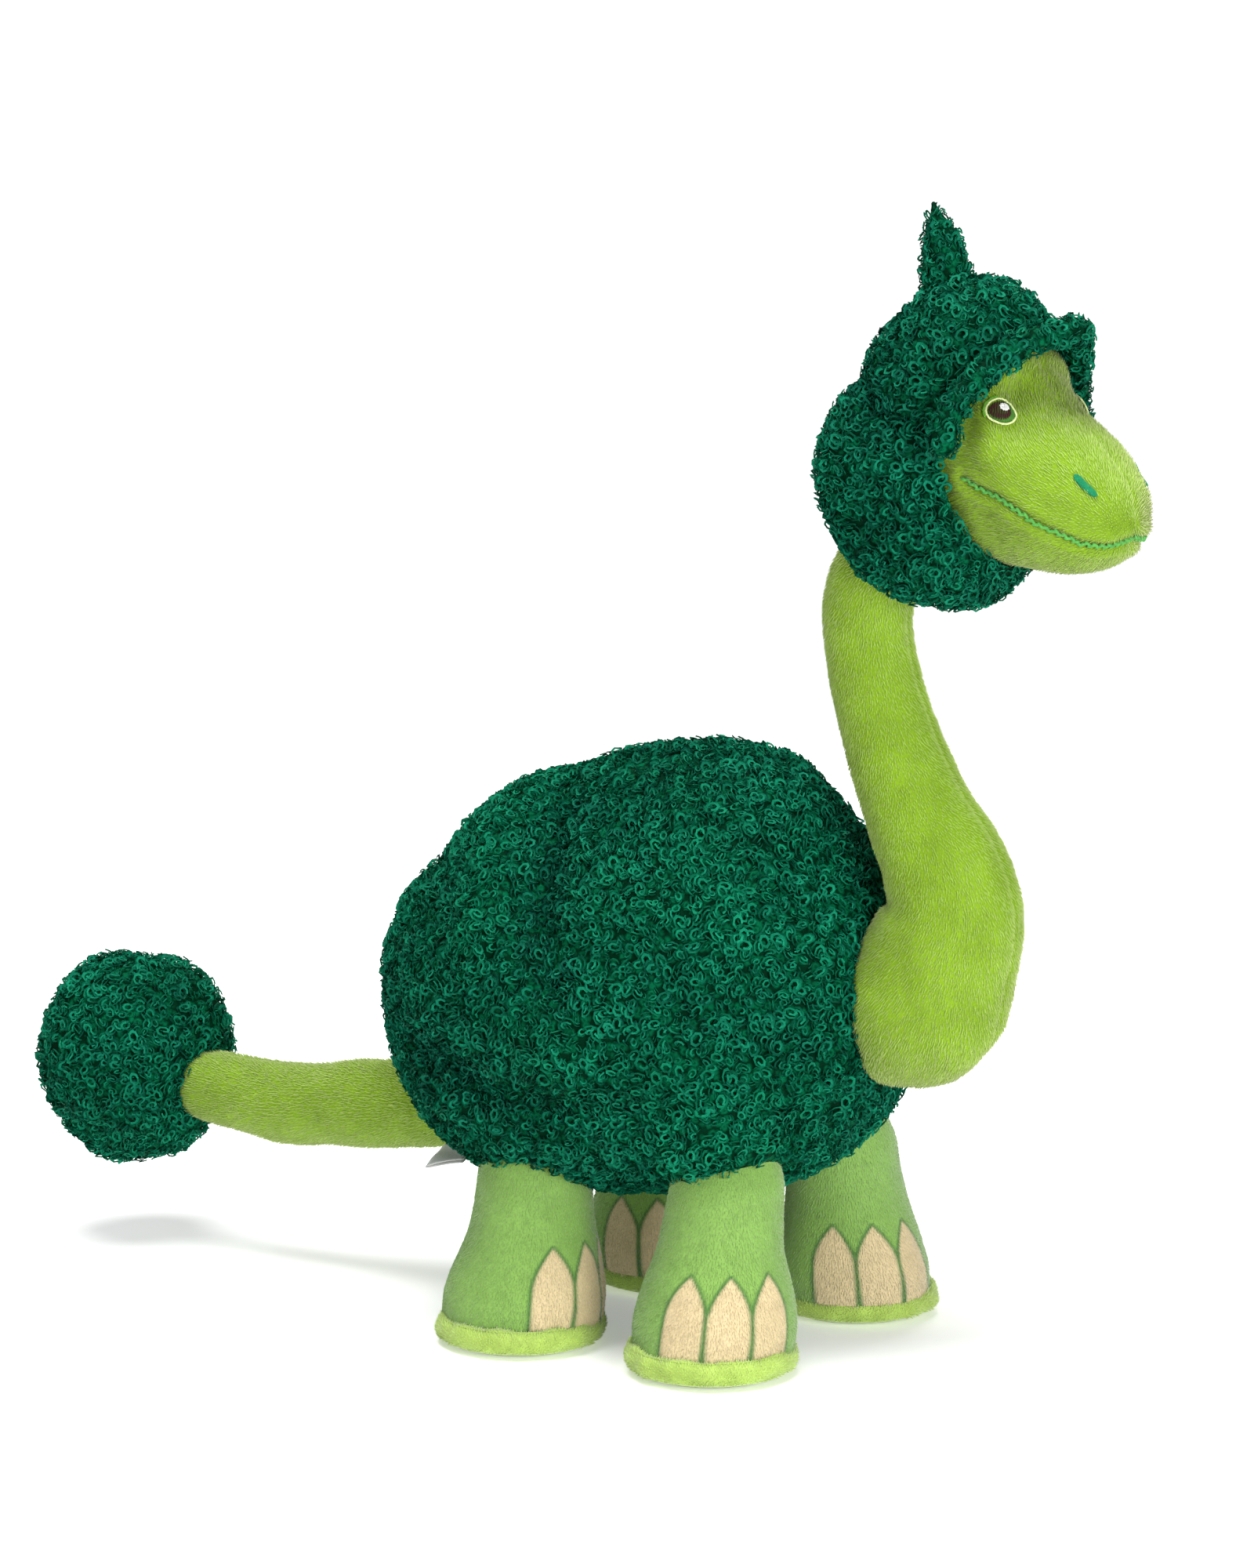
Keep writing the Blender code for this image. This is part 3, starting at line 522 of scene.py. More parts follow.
def grow_tree(name, sizes, shoot, smallest, largest):
    """A tree that sets one shoot on each of many points of a surface, leaning along its nap."""
    tree, entry, leave = new_tree(name, sizes)
    given = entry.outputs
    gap = given["Spacing"]
    density = math_node(tree, "DIVIDE", 1.0, math_node(tree, "MULTIPLY", gap, gap))
    spots = add(tree, "GeometryNodeDistributePointsOnFaces", distribute_method="POISSON", inputs={
        "Mesh": given["Geometry"], "Distance Min": gap,
        "Density Max": math_node(tree, "MULTIPLY", density, 1.6),
        "Density Factor": attribute(tree, "cover"), "Seed": given["Seed"],
    })
    # each curl's random tone, darkened by painted shade in the fabric's dips and folds and lightened by
    # painted light on its bumps and ridges
    painted_hollow_shading = math_node(tree, "MULTIPLY", attribute(tree, "painted_hollow_shading"), given["Hollow Shade"])
    own = math_node(tree, "SUBTRACT", random_float(tree, 0.0, 1.0, given["Seed"]), painted_hollow_shading)
    points = store(tree, spots.outputs["Points"], "shade", own)
    later = [math_node(tree, "ADD", given["Seed"], float(step)) for step in range(1, 5)]
    lean = add(tree, "ShaderNodeVectorMath", operation="SCALE", inputs={
        0: attribute(tree, "nap", "FLOAT_VECTOR"), "Scale": given["Lean"],
    }).outputs[0]
    scatter = add(tree, "ShaderNodeCombineXYZ", {
        axis: math_node(tree, "MULTIPLY", random_float(tree, -1.0, 1.0, seed), given["Scatter"])
        for axis, seed in zip("XYZ", later)
    }).outputs[0]
    towards = add(tree, "ShaderNodeVectorMath", {0: spots.outputs["Normal"], 1: lean}, operation="ADD")
    towards = add(tree, "ShaderNodeVectorMath", {0: towards.outputs[0], 1: scatter}, operation="ADD")
    inputs = {"Vector": towards.outputs[0]}
    upright = add(tree, "FunctionNodeAlignRotationToVector", inputs, axis="Z").outputs[0]
    turn = add(tree, "ShaderNodeCombineXYZ", {"Z": random_float(tree, 0.0, 2 * math.pi, later[3])})
    turn = add(tree, "FunctionNodeEulerToRotation", {0: turn.outputs[0]}).outputs[0]
    turned = add(tree, "FunctionNodeRotateRotation", {0: upright, 1: turn}, rotation_space="LOCAL")
    size = random_float(tree, smallest, largest, later[0])
    placed = add(tree, "GeometryNodeInstanceOnPoints", {
        "Points": points, "Instance": shoot(tree, given), "Rotation": turned.outputs[0], "Scale": size,
    })
    return finished(tree, placed, given, leave)


def finished(tree, placed, given, leave):
    real = add(tree, "GeometryNodeRealizeInstances", {"Geometry": placed.outputs[0]})
    inputs = {"Geometry": real.outputs[0], "Material": given["Material"]}
    tree.links.new(add(tree, "GeometryNodeSetMaterial", inputs).outputs[0], leave.inputs[0])
    return tree


def curl(tree, given):
    """One ringlet of yarn, nearly two turns and open below, half sunk in the fabric."""
    spiral = add(tree, "GeometryNodeCurveSpiral", {
        "Resolution": 7, "Rotations": 1.8, "Start Radius": given["Radius"],
        "End Radius": math_node(tree, "MULTIPLY", given["Radius"], 0.6),
        "Height": math_node(tree, "MULTIPLY", given["Radius"], 1.2),
    }).outputs[0]
    spiral = store(tree, spiral, "along", add(tree, "GeometryNodeSplineParameter").outputs["Factor"])
    spiral = add(tree, "GeometryNodeSetCurveNormal", {"Curve": spiral}, mode="Z_UP").outputs[0]
    profile = add(tree, "GeometryNodeCurveArc", mode="RADIUS", inputs={
        "Resolution": 3, "Radius": given["Thickness"], "Start Angle": 0.0, "Sweep Angle": math.pi,
    }).outputs[0]
    yarn = add(tree, "GeometryNodeCurveToMesh", {"Curve": spiral, "Profile Curve": profile})
    tilt = add(tree, "GeometryNodeTransform", {
        "Geometry": yarn.outputs[0], "Rotation": (0.55, 0.2, 0.0), "Scale": (1.2, 0.85, 1.0),
    })
    return add(tree, "GeometryNodeSetShadeSmooth", {0: tilt.outputs[0]}).outputs[0]


def hair(tree, given):
    """One tuft of pile, a thin cone that knows how far up it a place is."""
    cone = add(tree, "GeometryNodeMeshCone", fill_type="NONE", inputs={
        "Vertices": 3, "Radius Top": 0.0, "Radius Bottom": given["Thickness"], "Depth": given["Length"],
    }).outputs[0]
    place = add(tree, "GeometryNodeInputPosition").outputs[0]
    height = add(tree, "ShaderNodeSeparateXYZ", {0: place}).outputs["Z"]
    cone = store(tree, cone, "along", math_node(tree, "DIVIDE", height, given["Length"]))
    return add(tree, "GeometryNodeSetShadeSmooth", {0: cone}).outputs[0]


def stitch_tree(name, sizes):
    """A tree that lays one short thread on each point, along its direction and flat on the cloth."""
    tree, entry, leave = new_tree(name, sizes)
    given = entry.outputs
    points = add(tree, "GeometryNodeMeshToPoints", {"Mesh": given["Geometry"]}).outputs[0]
    thread = add(tree, "GeometryNodeMeshUVSphere", {"Segments": 8, "Rings": 6, "Radius": 0.5}).outputs[0]
    thread = add(tree, "GeometryNodeSetShadeSmooth", {0: thread}).outputs[0]
    facing = add(tree, "FunctionNodeAxesToRotation", {
        0: attribute(tree, "out", "FLOAT_VECTOR"), 1: attribute(tree, "nap", "FLOAT_VECTOR"),
    }, primary_axis="Z", secondary_axis="X").outputs[0]
    scale = add(tree, "ShaderNodeCombineXYZ", {
        "X": attribute(tree, "length"), "Y": given["Width"], "Z": given["Thickness"],
    }).outputs[0]
    placed = add(tree, "GeometryNodeInstanceOnPoints", {
        "Points": points, "Instance": thread, "Rotation": facing, "Scale": scale,
    })
    return finished(tree, placed, given, leave)


# ---------------------------------------------------------------- materials


WHITE_LIGHT = (1, 1, 1, 1)
LEG_GREEN, NAIL_CREAM, NAIL_OUTLINE = (0.235, 0.43, 0.09), (0.68, 0.55, 0.32), (0.06, 0.18, 0.035)
LIME = (0.265, 0.465, 0.01, 1)


def shader_group(name, inputs, outputs):
    group = bpy.data.node_groups.new(name, "ShaderNodeTree")
    for label, value in inputs.items():
        kind = "NodeSocketColor" if isinstance(value, tuple) else "NodeSocketFloat"
        group.interface.new_socket(label, in_out="INPUT", socket_type=kind).default_value = value
    for label, kind in outputs.items():
        group.interface.new_socket(label, in_out="OUTPUT", socket_type="NodeSocket" + kind)
    return group, add(group, "NodeGroupInput").outputs, add(group, "NodeGroupOutput").inputs


def mix(tree, blend, factor, first, second):
    made = tree.nodes.new("ShaderNodeMix")
    made.data_type, made.blend_type = "RGBA", blend
    link_or_set(tree, made.inputs[0], factor)
    link_or_set(tree, made.inputs[6], first)
    link_or_set(tree, made.inputs[7], second)
    return made.outputs[2]


def ranged(tree, value, low, high, to_low=0.0, to_high=1.0):
    return add(tree, "ShaderNodeMapRange", {0: value, 1: low, 2: high, 3: to_low, 4: to_high}).outputs[0]


def fibre_group():
    """Painted shade at the roots and a painted highlight at the tips, patches where the nap lies another
    way, and fine fibres to feel.
    """
    group, given, leave = shader_group(
        "fibre shading",
        {"Colour": (0.5, 0.5, 0.5, 1), "Tip": (1, 1, 1, 1), "Root Shade": 0.5, "Patch Size": 8.0,
         "Patch Strength": 0.2, "Strand Size": 0.5, "Tip Amount": 0.5, "Single": 0.35},
        {"Colour": "Color", "Height": "Float", "Roughness": "Float"},
    )
    place = add(group, "ShaderNodeTexCoord").outputs["Object"]
    along = add(group, "ShaderNodeAttribute", attribute_name="along").outputs["Fac"]
    # each hair's or curl's own random tone; on curls it also carries the painted shading of hollows and
    # bumps
    own = add(group, "ShaderNodeAttribute", attribute_name="shade").outputs["Fac"]
    patch = add(group, "ShaderNodeTexNoise", {
        "Vector": place, "Scale": math_node(group, "DIVIDE", 1000.0, given["Patch Size"]),
        "Detail": 3.0, "Roughness": 0.6,
    }).outputs["Fac"]
    strands = add(group, "ShaderNodeTexNoise", {
        "Vector": place, "Scale": math_node(group, "DIVIDE", 1000.0, given["Strand Size"]), "Detail": 2.0,
    }).outputs["Fac"]
    patch = ranged(group, patch, 0.3, 0.7, -1.0, 1.0)
    patch = math_node(group, "MULTIPLY", patch, given["Patch Strength"])
    single = math_node(group, "MULTIPLY", math_node(group, "SUBTRACT", own, 0.5), given["Single"])
    # painted shade, darkest at the root of each hair and at the low end of each curl
    root = math_node(group, "MULTIPLY", math_node(group, "SUBTRACT", 1.0, along), given["Root Shade"])
    light = math_node(group, "ADD", math_node(group, "ADD", 1.0, patch), single)
    light = math_node(group, "SUBTRACT", light, root)
    light = math_node(group, "MULTIPLY", light, ranged(group, strands, 0.3, 0.7, 0.85, 1.12))
    light = math_node(group, "MAXIMUM", light, 0.05)
    grey = add(group, "ShaderNodeCombineColor", {0: light, 1: light, 2: light}).outputs[0]
    shaded = mix(group, "MULTIPLY", 1.0, given["Colour"], grey)
    # painted highlight: the Tip colour, laid on towards each hair's or curl's tip
    tip_highlight = math_node(group, "MULTIPLY", along, given["Tip Amount"])
    tip_highlight = math_node(group, "MULTIPLY", tip_highlight, ranged(group, patch, -0.2, 0.2, 0.2, 1.0))
    group.links.new(mix(group, "MIX", tip_highlight, shaded, given["Tip"]), leave["Colour"])
    group.links.new(strands, leave["Height"])
    group.links.new(ranged(group, strands, 0.3, 0.7, 0.6, 0.95), leave["Roughness"])
    return group


def loop_group():
    """Small rings of yarn crowded together, with painted shade in the gaps between them."""
    group, given, leave = shader_group("loop shading", {"Colour": (0.5, 0.5, 0.5, 1), "Size": 2.4},
                                       {"Colour": "Color", "Height": "Float"})
    place = add(group, "ShaderNodeTexCoord").outputs["Object"]
    bend = add(group, "ShaderNodeTexNoise", {"Vector": place, "Scale": 400.0}).outputs["Color"]
    bend = add(group, "ShaderNodeVectorMath", {0: bend, "Scale": 0.0012}, operation="SCALE").outputs[0]
    place = add(group, "ShaderNodeVectorMath", {0: place, 1: bend}, operation="ADD").outputs[0]
    scale = math_node(group, "DIVIDE", 1000.0, given["Size"])
    cell = add(group, "ShaderNodeTexVoronoi", {"Vector": place, "Scale": scale}).outputs["Distance"]
    ring = math_node(group, "ABSOLUTE", math_node(group, "SUBTRACT", cell, 0.32))
    ring = ranged(group, ring, 0.3, 0.04)
    # painted shade: darker in the gaps between the rings, lighter on the rings
    light = ranged(group, ring, 0.0, 1.0, 0.3, 1.5)
    shaded = add(group, "ShaderNodeCombineColor", {0: light, 1: light, 2: light}).outputs[0]
    group.links.new(mix(group, "MULTIPLY", 1.0, given["Colour"], shaded), leave["Colour"])
    group.links.new(ring, leave["Height"])
    return group


def cloth_material(name, colour, tip=WHITE_LIGHT, tinted=False, loops=False, sheen=0.3,
                   sheen_tint=WHITE_LIGHT, bump=0.2, specular=0.25, specular_tint=WHITE_LIGHT, **values):
    """A cloth, whose other values set the fibre shading's inputs of those names."""
    material = bpy.data.materials.new(name)
    material.use_nodes = True
    tree = material.node_tree
    shader = tree.nodes["Principled BSDF"]
    fibres = add(tree, "ShaderNodeGroup", node_tree=FIBRES)
    for label, value in values.items():
        fibres.inputs[label.replace("_", " ")].default_value = value
    fibres.inputs["Colour"].default_value = colour
    # the tip colour is a painted highlight at the fibres' tips
    fibres.inputs["Tip"].default_value = tip
    if tinted:
        tint = add(tree, "ShaderNodeAttribute", attribute_name="tint").outputs["Color"]
        tree.links.new(tint, fibres.inputs["Colour"])
    shown, height = fibres.outputs["Colour"], fibres.outputs["Height"]
    if loops:
        looped = add(tree, "ShaderNodeGroup", {"Colour": shown}, node_tree=LOOPS)
        shown, height = looped.outputs["Colour"], looped.outputs["Height"]
    tree.links.new(shown, shader.inputs["Base Color"])
    tree.links.new(fibres.outputs["Roughness"], shader.inputs["Roughness"])
    raised = add(tree, "ShaderNodeBump", {"Height": height, "Strength": bump, "Distance": 0.0004})
    tree.links.new(raised.outputs[0], shader.inputs["Normal"])
    shader.inputs["Sheen Weight"].default_value = sheen
    shader.inputs["Sheen Roughness"].default_value = 0.4
    shader.inputs["Sheen Tint"].default_value = sheen_tint
    shader.inputs["Specular IOR Level"].default_value = specular
    shader.inputs["Specular Tint"].default_value = specular_tint
    return material


FIBRES = fibre_group()
LOOPS = loop_group()
# Each cloth's second colour is its painted highlight at the fibres' tips; Root Shade paints shade at their
# roots
BOUCLE = cloth_material(
    "emerald boucle", (0.0002, 0.066, 0.026, 1), (0.025, 0.55, 0.33, 1),
    sheen=0.05, sheen_tint=(0.1, 1, 0.7, 1), specular=0.4, specular_tint=(0.08, 0.9, 0.55, 1), bump=0.6,
    Root_Shade=0.5, Patch_Size=22.0, Patch_Strength=0.12, Tip_Amount=0.36, Single=1.0,
)
BACKING = cloth_material(
    "boucle backing", (0.0003, 0.07, 0.028, 1), (0.001, 0.14, 0.06, 1), loops=True,
    sheen=0.0, specular=0.03, bump=1.0, Root_Shade=0.0, Strand_Size=1.6, Single=0.0,
)
PLUSH = cloth_material(
    "lime plush", LIME, (0.68, 0.8, 0.38, 1), sheen=0.5, sheen_tint=(1, 1, 0.6, 1),
    Root_Shade=0.15, Patch_Size=12.0, Patch_Strength=0.09, Tip_Amount=0.85, Single=0.24,
)
LEG_PLUSH = cloth_material(
    "printed plush", LIME, (0.6, 0.8, 0.42, 1), tinted=True, sheen=0.5, bump=0.1,
    Root_Shade=0.1, Patch_Size=6.0, Patch_Strength=0.05, Tip_Amount=0.15, Single=0.06,
)
SOLE_PLUSH = cloth_material(
    "sole plush", (0.44, 0.62, 0.12, 1), (0.72, 0.82, 0.42, 1), sheen=0.6,
    Root_Shade=0.12, Patch_Size=6.0, Patch_Strength=0.1, Tip_Amount=0.4, Single=0.15,
)
FIBRE = cloth_material("polyester fibre", (0.85, 0.84, 0.8, 1), bump=0.8, Root_Shade=0.1, Strand_Size=1.2)
RIBBON = cloth_material(
    "woven ribbon", (0.86, 0.87, 0.84, 1), sheen=0.5, bump=0.3,
    Root_Shade=0.0, Patch_Strength=0.03, Strand_Size=0.35,
)


def thread_material(name, colour):
    return cloth_material(
        name, colour, sheen=0.05, specular=0.35, bump=0.3,
        Root_Shade=0.0, Patch_Size=1.2, Patch_Strength=0.2, Tip_Amount=0.0, Strand_Size=0.25,
    )


BROWN = thread_material("brown thread", (0.045, 0.006, 0.005, 1))
WHITE = thread_material("white thread", (0.85, 0.85, 0.82, 1))
PALE = thread_material("pale lime thread", (0.78, 0.88, 0.4, 1))
SHADE = thread_material("shade green thread", (0.06, 0.22, 0.02, 1))
SHADE_LIGHT = thread_material("light shade green thread", (0.14, 0.42, 0.02, 1))
GREEN = thread_material("green thread", (0.004, 0.3, 0.12, 1))
MID_GREEN = thread_material("mid green thread", (0.1, 0.42, 0.07, 1))

# Hollow Shade sets how strongly the curls take the painted shade of dips and folds and the painted light of
# bumps
CURLS = grow_tree("curls of boucle", {
    "Spacing": CURL_SPACING * MM, "Radius": CURL_RADIUS * MM, "Thickness": YARN_RADIUS * MM, "Lean": 0.0,
    "Scatter": 1.0, "Hollow Shade": 1.1, "Seed": 1, "Material": BOUCLE,
}, curl, 0.65, 1.6)
PILE = grow_tree("pile of plush", {
    "Spacing": PILE_SPACING * MM, "Length": PILE_LENGTH * MM, "Thickness": 0.2 * MM, "Lean": 1.5,
    "Scatter": 0.14, "Hollow Shade": 0.0, "Seed": 1, "Material": PLUSH,
}, hair, 0.7, 1.3)
STITCHES = stitch_tree("stitches", {"Width": 0.35 * MM, "Thickness": 0.3 * MM, "Material": GREEN})


# ---------------------------------------------------------------- pieces


def settle(piece, body, nodes=()):
    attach(piece, body)
    if nodes:
        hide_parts(*nodes)
    return piece


def curls(name, fabric, body, seed, keep=None, **sizes):
    piece = grown(name, fabric, CURLS, {"Seed": seed, "Material": BOUCLE, **sizes}, keep)
    return settle(piece, body)


def pile(name, fabric, body, slot, material, seed, **sizes):
    piece = grown(name, fabric, PILE, {"Seed": seed, "Material": material, **sizes})
    return settle(piece, body)


def foot_under(hip):
    return hip * (1, 1, 0) + (0, math.copysign(FOOT_OUT, hip[1]), 0)


def torso_quarter(side, end):
    """Whether points lie on this side and in this end of the torso."""
    def keep(points):
        on_side = (points[:, 1] >= 0) == (side == "left")
        return on_side & ((points[:, 0] >= TORSO_SPLIT) == (end == "front"))

    return keep


def build_torso():
    limbs = [(NECK, NECK + (3, 0, 12), 21.0), (TAIL, TAIL - (30, 0, 3), 10.5)]
    limbs += [(PIVOT[body], foot_under(PIVOT[body]), 14.5) for body in LEG_BODIES]
    sculpt = [inset(CURL_ROOM), lumps(34.0, 2.6, 2.1), lumps(14.0, 1.3, 5.0), centre_seam(2.5, 0.8)]
    sculpt += [crease(*fold) for fold in TORSO_FOLDS]
    for body in LEG_BODIES:
        if "front" in body:
            hip = PIVOT[body] + (1, math.copysign(15, PIVOT[body][1]), 4)
            sculpt.append(crease(hip - (4, 0, 0), hip + (10, 0, 0), 12, -HIP_BULGE))
    fabric = form("torso_fabric", torso_surface, np.linspace(0, 1, 100), 150, BACKING, sculpt,
                  bare=lambda points, along, angle: clear_of(points, *limbs))
    nodes = ("torso_cover_left", "torso_cover_right", "belly_panel", "torso_stuffing")
    settle(fabric, "torso", nodes)
    quarters = itertools.product(("left", "right"), ("front", "rear"))
    for number, (side, end) in enumerate(quarters):
        seed = 10 + 10 * number
        curls(f"torso_curls_{side}_{end}", fabric, "torso", seed, torso_quarter(side, end))


def build_club():
    fabric = form("club_fabric", club_surface, np.linspace(0, 1, 60), 90, BACKING,
                  [inset(CURL_ROOM), lumps(22.0, 3.0, 7.0), centre_seam(2.0, 0.8)],
                  bare=lambda points, along, angle: clear_of(points, (CLUB, CLUB + (20, 0, 0), 9.0)))
    settle(fabric, "club", ("club_cover_left", "club_cover_right", "club_stuffing"))
    curls("club_curls", fabric, "club", 60)


def build_hood():
    limbs = [(HEAD, HEAD - (18, 0, 22), 12.0), (HORN, HORN + (0, 0, 12), 6.0)]
    sculpt = [inset(CURL_ROOM), lumps(26.0, 2.6, 3.0), centre_seam(2.2, 0.6)]
    for start, end, width, depth in HOOD_FOLDS:
        for side in (-1, 1):
            mirror = np.array([1, side, 1])
            sculpt.append(crease(HEAD + start * mirror, HEAD + end * mirror, width, depth))
    places = [*np.linspace(0, 1, 70), *np.linspace(1.15, 2, 7)]
    fabric = form("hood_fabric", hood_surface, places, 110, BACKING, sculpt,
                  bare=lambda points, along, angle: clear_of(points, *limbs) * (along < 1.6))
    settle(fabric, "head", ("hood_left", "hood_right", "head_stuffing"))
    curls("hood_curls_left", fabric, "head", 70, lambda points: points[:, 1] >= 0)
    curls("hood_curls_right", fabric, "head", 80, lambda points: points[:, 1] < 0)
    places = np.linspace(-0.04, 1.04, 90)
    brim = form("brim_fabric", brim_surface, places, 20, BACKING, [lumps(9.0, 1.0, 1.0)])
    settle(brim, "head", ("hood_brim",))
    curls("brim_curls", brim, "head", 90, Radius=1.1 * MM)


def build_horn():
    surface = limb_surface(HORN, HORN_ROWS)
    places = [*np.linspace(-0.75, 0, 6), *np.linspace(0.04, 1, 26), 1.3, 1.6, 1.85, 2]
    fabric = form("horn_fabric", surface, places, 40, BACKING, [inset(1.2), lumps(7.0, 0.8, 1.0)])
    settle(fabric, "horn", ("horn_cover",))
    curls("horn_curls", fabric, "horn", 95, Radius=1.0 * MM, Spacing=1.5 * MM)


def build_neck():
    places = [*np.linspace(-1, 0, 14)[:-1], *np.linspace(0, 1, 100), *np.linspace(1, 2, 10)[1:]]
    sculpt = [
        inset(PILE_ROOM), dimple(NECK + (-12, -8, -21), 9, -3.5), dimple(NECK + (16, 8, -16), 10, 2.5),
        lumps(30.0, 1.6, 4.0), lumps(7.0, 0.25, 9.0), centre_seam(0.9, 0.9),
    ]
    surface = limb_surface(NECK, NECK_ROWS)
    fabric = form("neck_fabric", surface, places, 90, PLUSH, sculpt, flip_nap=True)
    settle(fabric, "neck", ("neck_cover_left", "neck_cover_right"))
    pile("neck_pile", fabric, "neck", "plush_lime", PLUSH, 100)


def build_tail():
    places = [*np.linspace(-1, 0, 8)[:-1], *np.linspace(0, 1, 80), *np.linspace(1, 2, 6)[1:]]
    fabric = form("tail_fabric", limb_surface(TAIL, TAIL_ROWS), places, 80, PLUSH,
                  [inset(PILE_ROOM), lumps(20.0, 1.2, 6.0), lumps(6.0, 0.25, 9.0), centre_seam(0.8, 0.7)])
    settle(fabric, "tail", ("tail_cover_left", "tail_cover_right"))
    pile("tail_pile", fabric, "tail", "plush_lime", PLUSH, 110)


def on_face(forward, up, side=1):
    """A point on the face at these places, and its normal and the ways ahead and up there."""
    places = np.linspace(0, 1, 2000)
    along = np.interp(forward, head_surface(FACE_ROWS, places, 0 * places)[:, 0] - HEAD[0], places)
    low, high = face_surface(along, np.array(math.pi))[2], face_surface(along, np.array(0.0))[2]
    angle = side * np.arccos(np.clip((HEAD[2] + up - (low + high) / 2) / ((high - low) / 2), -1, 1))
    step = 0.01
    around = face_surface(along, angle + step) - face_surface(along, angle - step)
    ahead = unit(face_surface(np.minimum(along + step, 1), angle) - face_surface(along - step, angle))
    point = face_surface(along, angle)
    normal = unit(np.cross(ahead, around))
    normal = normal * (1 if normal @ (point - HEAD - (20, 0, 15)) > 0 else -1)
    upward = np.cross(normal, ahead)
    return point, normal, ahead, unit(upward * (1 if upward[2] > 0 else -1))


def mouth_line(count):
    """Points along the mouth from the left cheek round the nose to the right, with their normals."""
    found = [on_face(*rows_at(MOUTH_ROWS, at))[:2] for at in np.linspace(0, len(MOUTH_ROWS) - 1, count)]
    near, normals = (np.array(part) for part in zip(*found))
    return tuple(np.concatenate([part, part[-2::-1] * (1, -1, 1)]) for part in (near, normals))


def stitches(name, body, material, centres, directions, normals, lengths, nodes, width, thick):
    mesh = bpy.data.meshes.new(name)
    mesh.from_pydata((np.array(centres) * MM).tolist(), [], [])
    save_attribute(mesh, "nap", directions, "FLOAT_VECTOR")
    save_attribute(mesh, "out", normals, "FLOAT_VECTOR")
    save_attribute(mesh, "length", np.array(lengths) * MM)
    seeds = link(name + "_seeds", mesh)
    sizes = {"Material": material, "Width": width * MM, "Thickness": thick * MM}
    piece = grown(name, seeds, STITCHES, sizes)
    bpy.data.objects.remove(seeds)
    return settle(piece, body, nodes)


def face_sculpt():
    mouth = mouth_line(24)[0]

    def mouth_groove(points, along, angle):
        nearest = np.min([distance(points, *pair) for pair in zip(mouth, mouth[1:])], axis=0)
        return -1.3 * np.exp(-((nearest / 1.3) ** 2)) + 0.7 * np.exp(-(((nearest - 3.2) / 1.8) ** 2))

    changes = [inset(PILE_ROOM), mouth_groove, lumps(18.0, 0.9, 8.0), centre_seam(0.8, 0.5)]
    for side in (1, -1):
        eye, normal, ahead, up = on_face(*EYE_AT[side], side)
        changes += [dimple(eye + up * 1.5, 7.0, 2.8), flat_spot(eye - normal * 1.2, normal, 5.6)]
        bridge = HEAD + np.array([39, side * 14, 38])
        changes.append(crease(bridge, bridge + (1, -side * 2, 2), 4.5, BRIDGE_DEPTH[side]))
        changes.append(crease(eye - up * 8 + ahead * 7, eye - up * 6 + ahead * 12, 6.5, -2.4))
        changes.append(crease(eye - up * 14 - ahead * 2, eye - up * 14 + ahead * 6, 8, -1.2))
        nostril = on_face(*NOSTRIL_AT, side)[0]
        changes.append(dimple(nostril, 3.0, 0.7))
    return changes


def build_face():
    places = 1 - np.linspace(1, 0, 130) ** 1.3
    fabric = form("face_fabric", face_surface, places, 150, PLUSH, face_sculpt(),
                  bare=lambda points, along, angle: 1.0 * (along > 0.12), flip_nap=True)
    settle(fabric, "head", ("face_cover_left", "face_cover_right"))
    pile("face_pile", fabric, "head", "plush_lime", PLUSH, 120)
    surface_at = surface_finder(fabric)
    build_eyes(surface_at)
    build_mouth(surface_at)
    for side, name in ((1, "left"), (-1, "right")):
        build_nostril(name, side, surface_at)


def build_mouth(surface_at):
    """A row of stitches that slant to one side and the other in turn."""
    line, normals = resampled(*mouth_line(60), 1.15)
    ways = unit(np.gradient(line, axis=0))
    across = unit(np.cross(normals, ways))
    sway = np.where(np.arange(len(line)) % 2, 1, -1)[:, None]
    centres = surface_at(line, 0.9)[0] + across * sway * 0.22
    stitches("mouth_stitches", "head", MID_GREEN, centres, ways + across * sway * 0.45, normals,
             np.full(len(line), 2.4), ("mouth_stitch",), width=0.95, thick=0.75)


def surface_finder(fabric):
    """A function that moves points onto a fabric, a little proud of it, and gives the normals there."""
    made = bmesh.new()
    made.from_mesh(fabric.data)
    tree = BVHTree.FromBMesh(made)
    made.free()

    def find(points, proud):
        found = [tree.find_nearest(Vector(point) * MM)[:2] for point in points]
        normals = np.array([normal for _, normal in found])
        return np.array([place for place, _ in found]) / MM + normals * proud, normals

    return find


def resampled(line, normals, spacing):
    run = np.concatenate([[0], np.cumsum(np.linalg.norm(np.diff(line, axis=0), axis=1))])
    at = np.arange(0, run[-1], spacing)
    return tuple(
        np.stack([np.interp(at, run, part[:, axis]) for axis in range(3)], 1) for part in (line, normals)
    )


def build_nostril(name, side, surface_at):
    point, normal = on_face(*NOSTRIL_AT, side)[:2]
    level, rise = level_frame(normal)
    tilt = math.radians(NOSTRIL_TILT)
    along = level * math.cos(tilt) - rise * math.sin(tilt)
    across = level * math.sin(tilt) + rise * math.cos(tilt)
    half = NOSTRIL_SIZE[0] / 2
    at = np.arange(-half + 0.2, half, 0.36)
    centres, normals = surface_at([point + along * place for place in at], 0.5)
    lengths = NOSTRIL_SIZE[1] * np.sqrt(np.clip(1 - (at / half) ** 4, 0.15, 1))
    ways = np.tile(across + along * 0.25, (len(at), 1))
    stitches("nostril_stitches_" + name, "head", GREEN, centres, ways, normals, lengths,
             ("nostril_" + name,), width=0.55, thick=1.0)


def level_frame(normal):
    """The level way ahead along a surface, and the way up it."""
    level = unit(np.cross((0, 0, 1), normal))
    level = level * (1 if level[0] > 0 else -1)
    rise = np.cross(normal, level)
    return level, rise * (1 if rise[2] > 0 else -1)


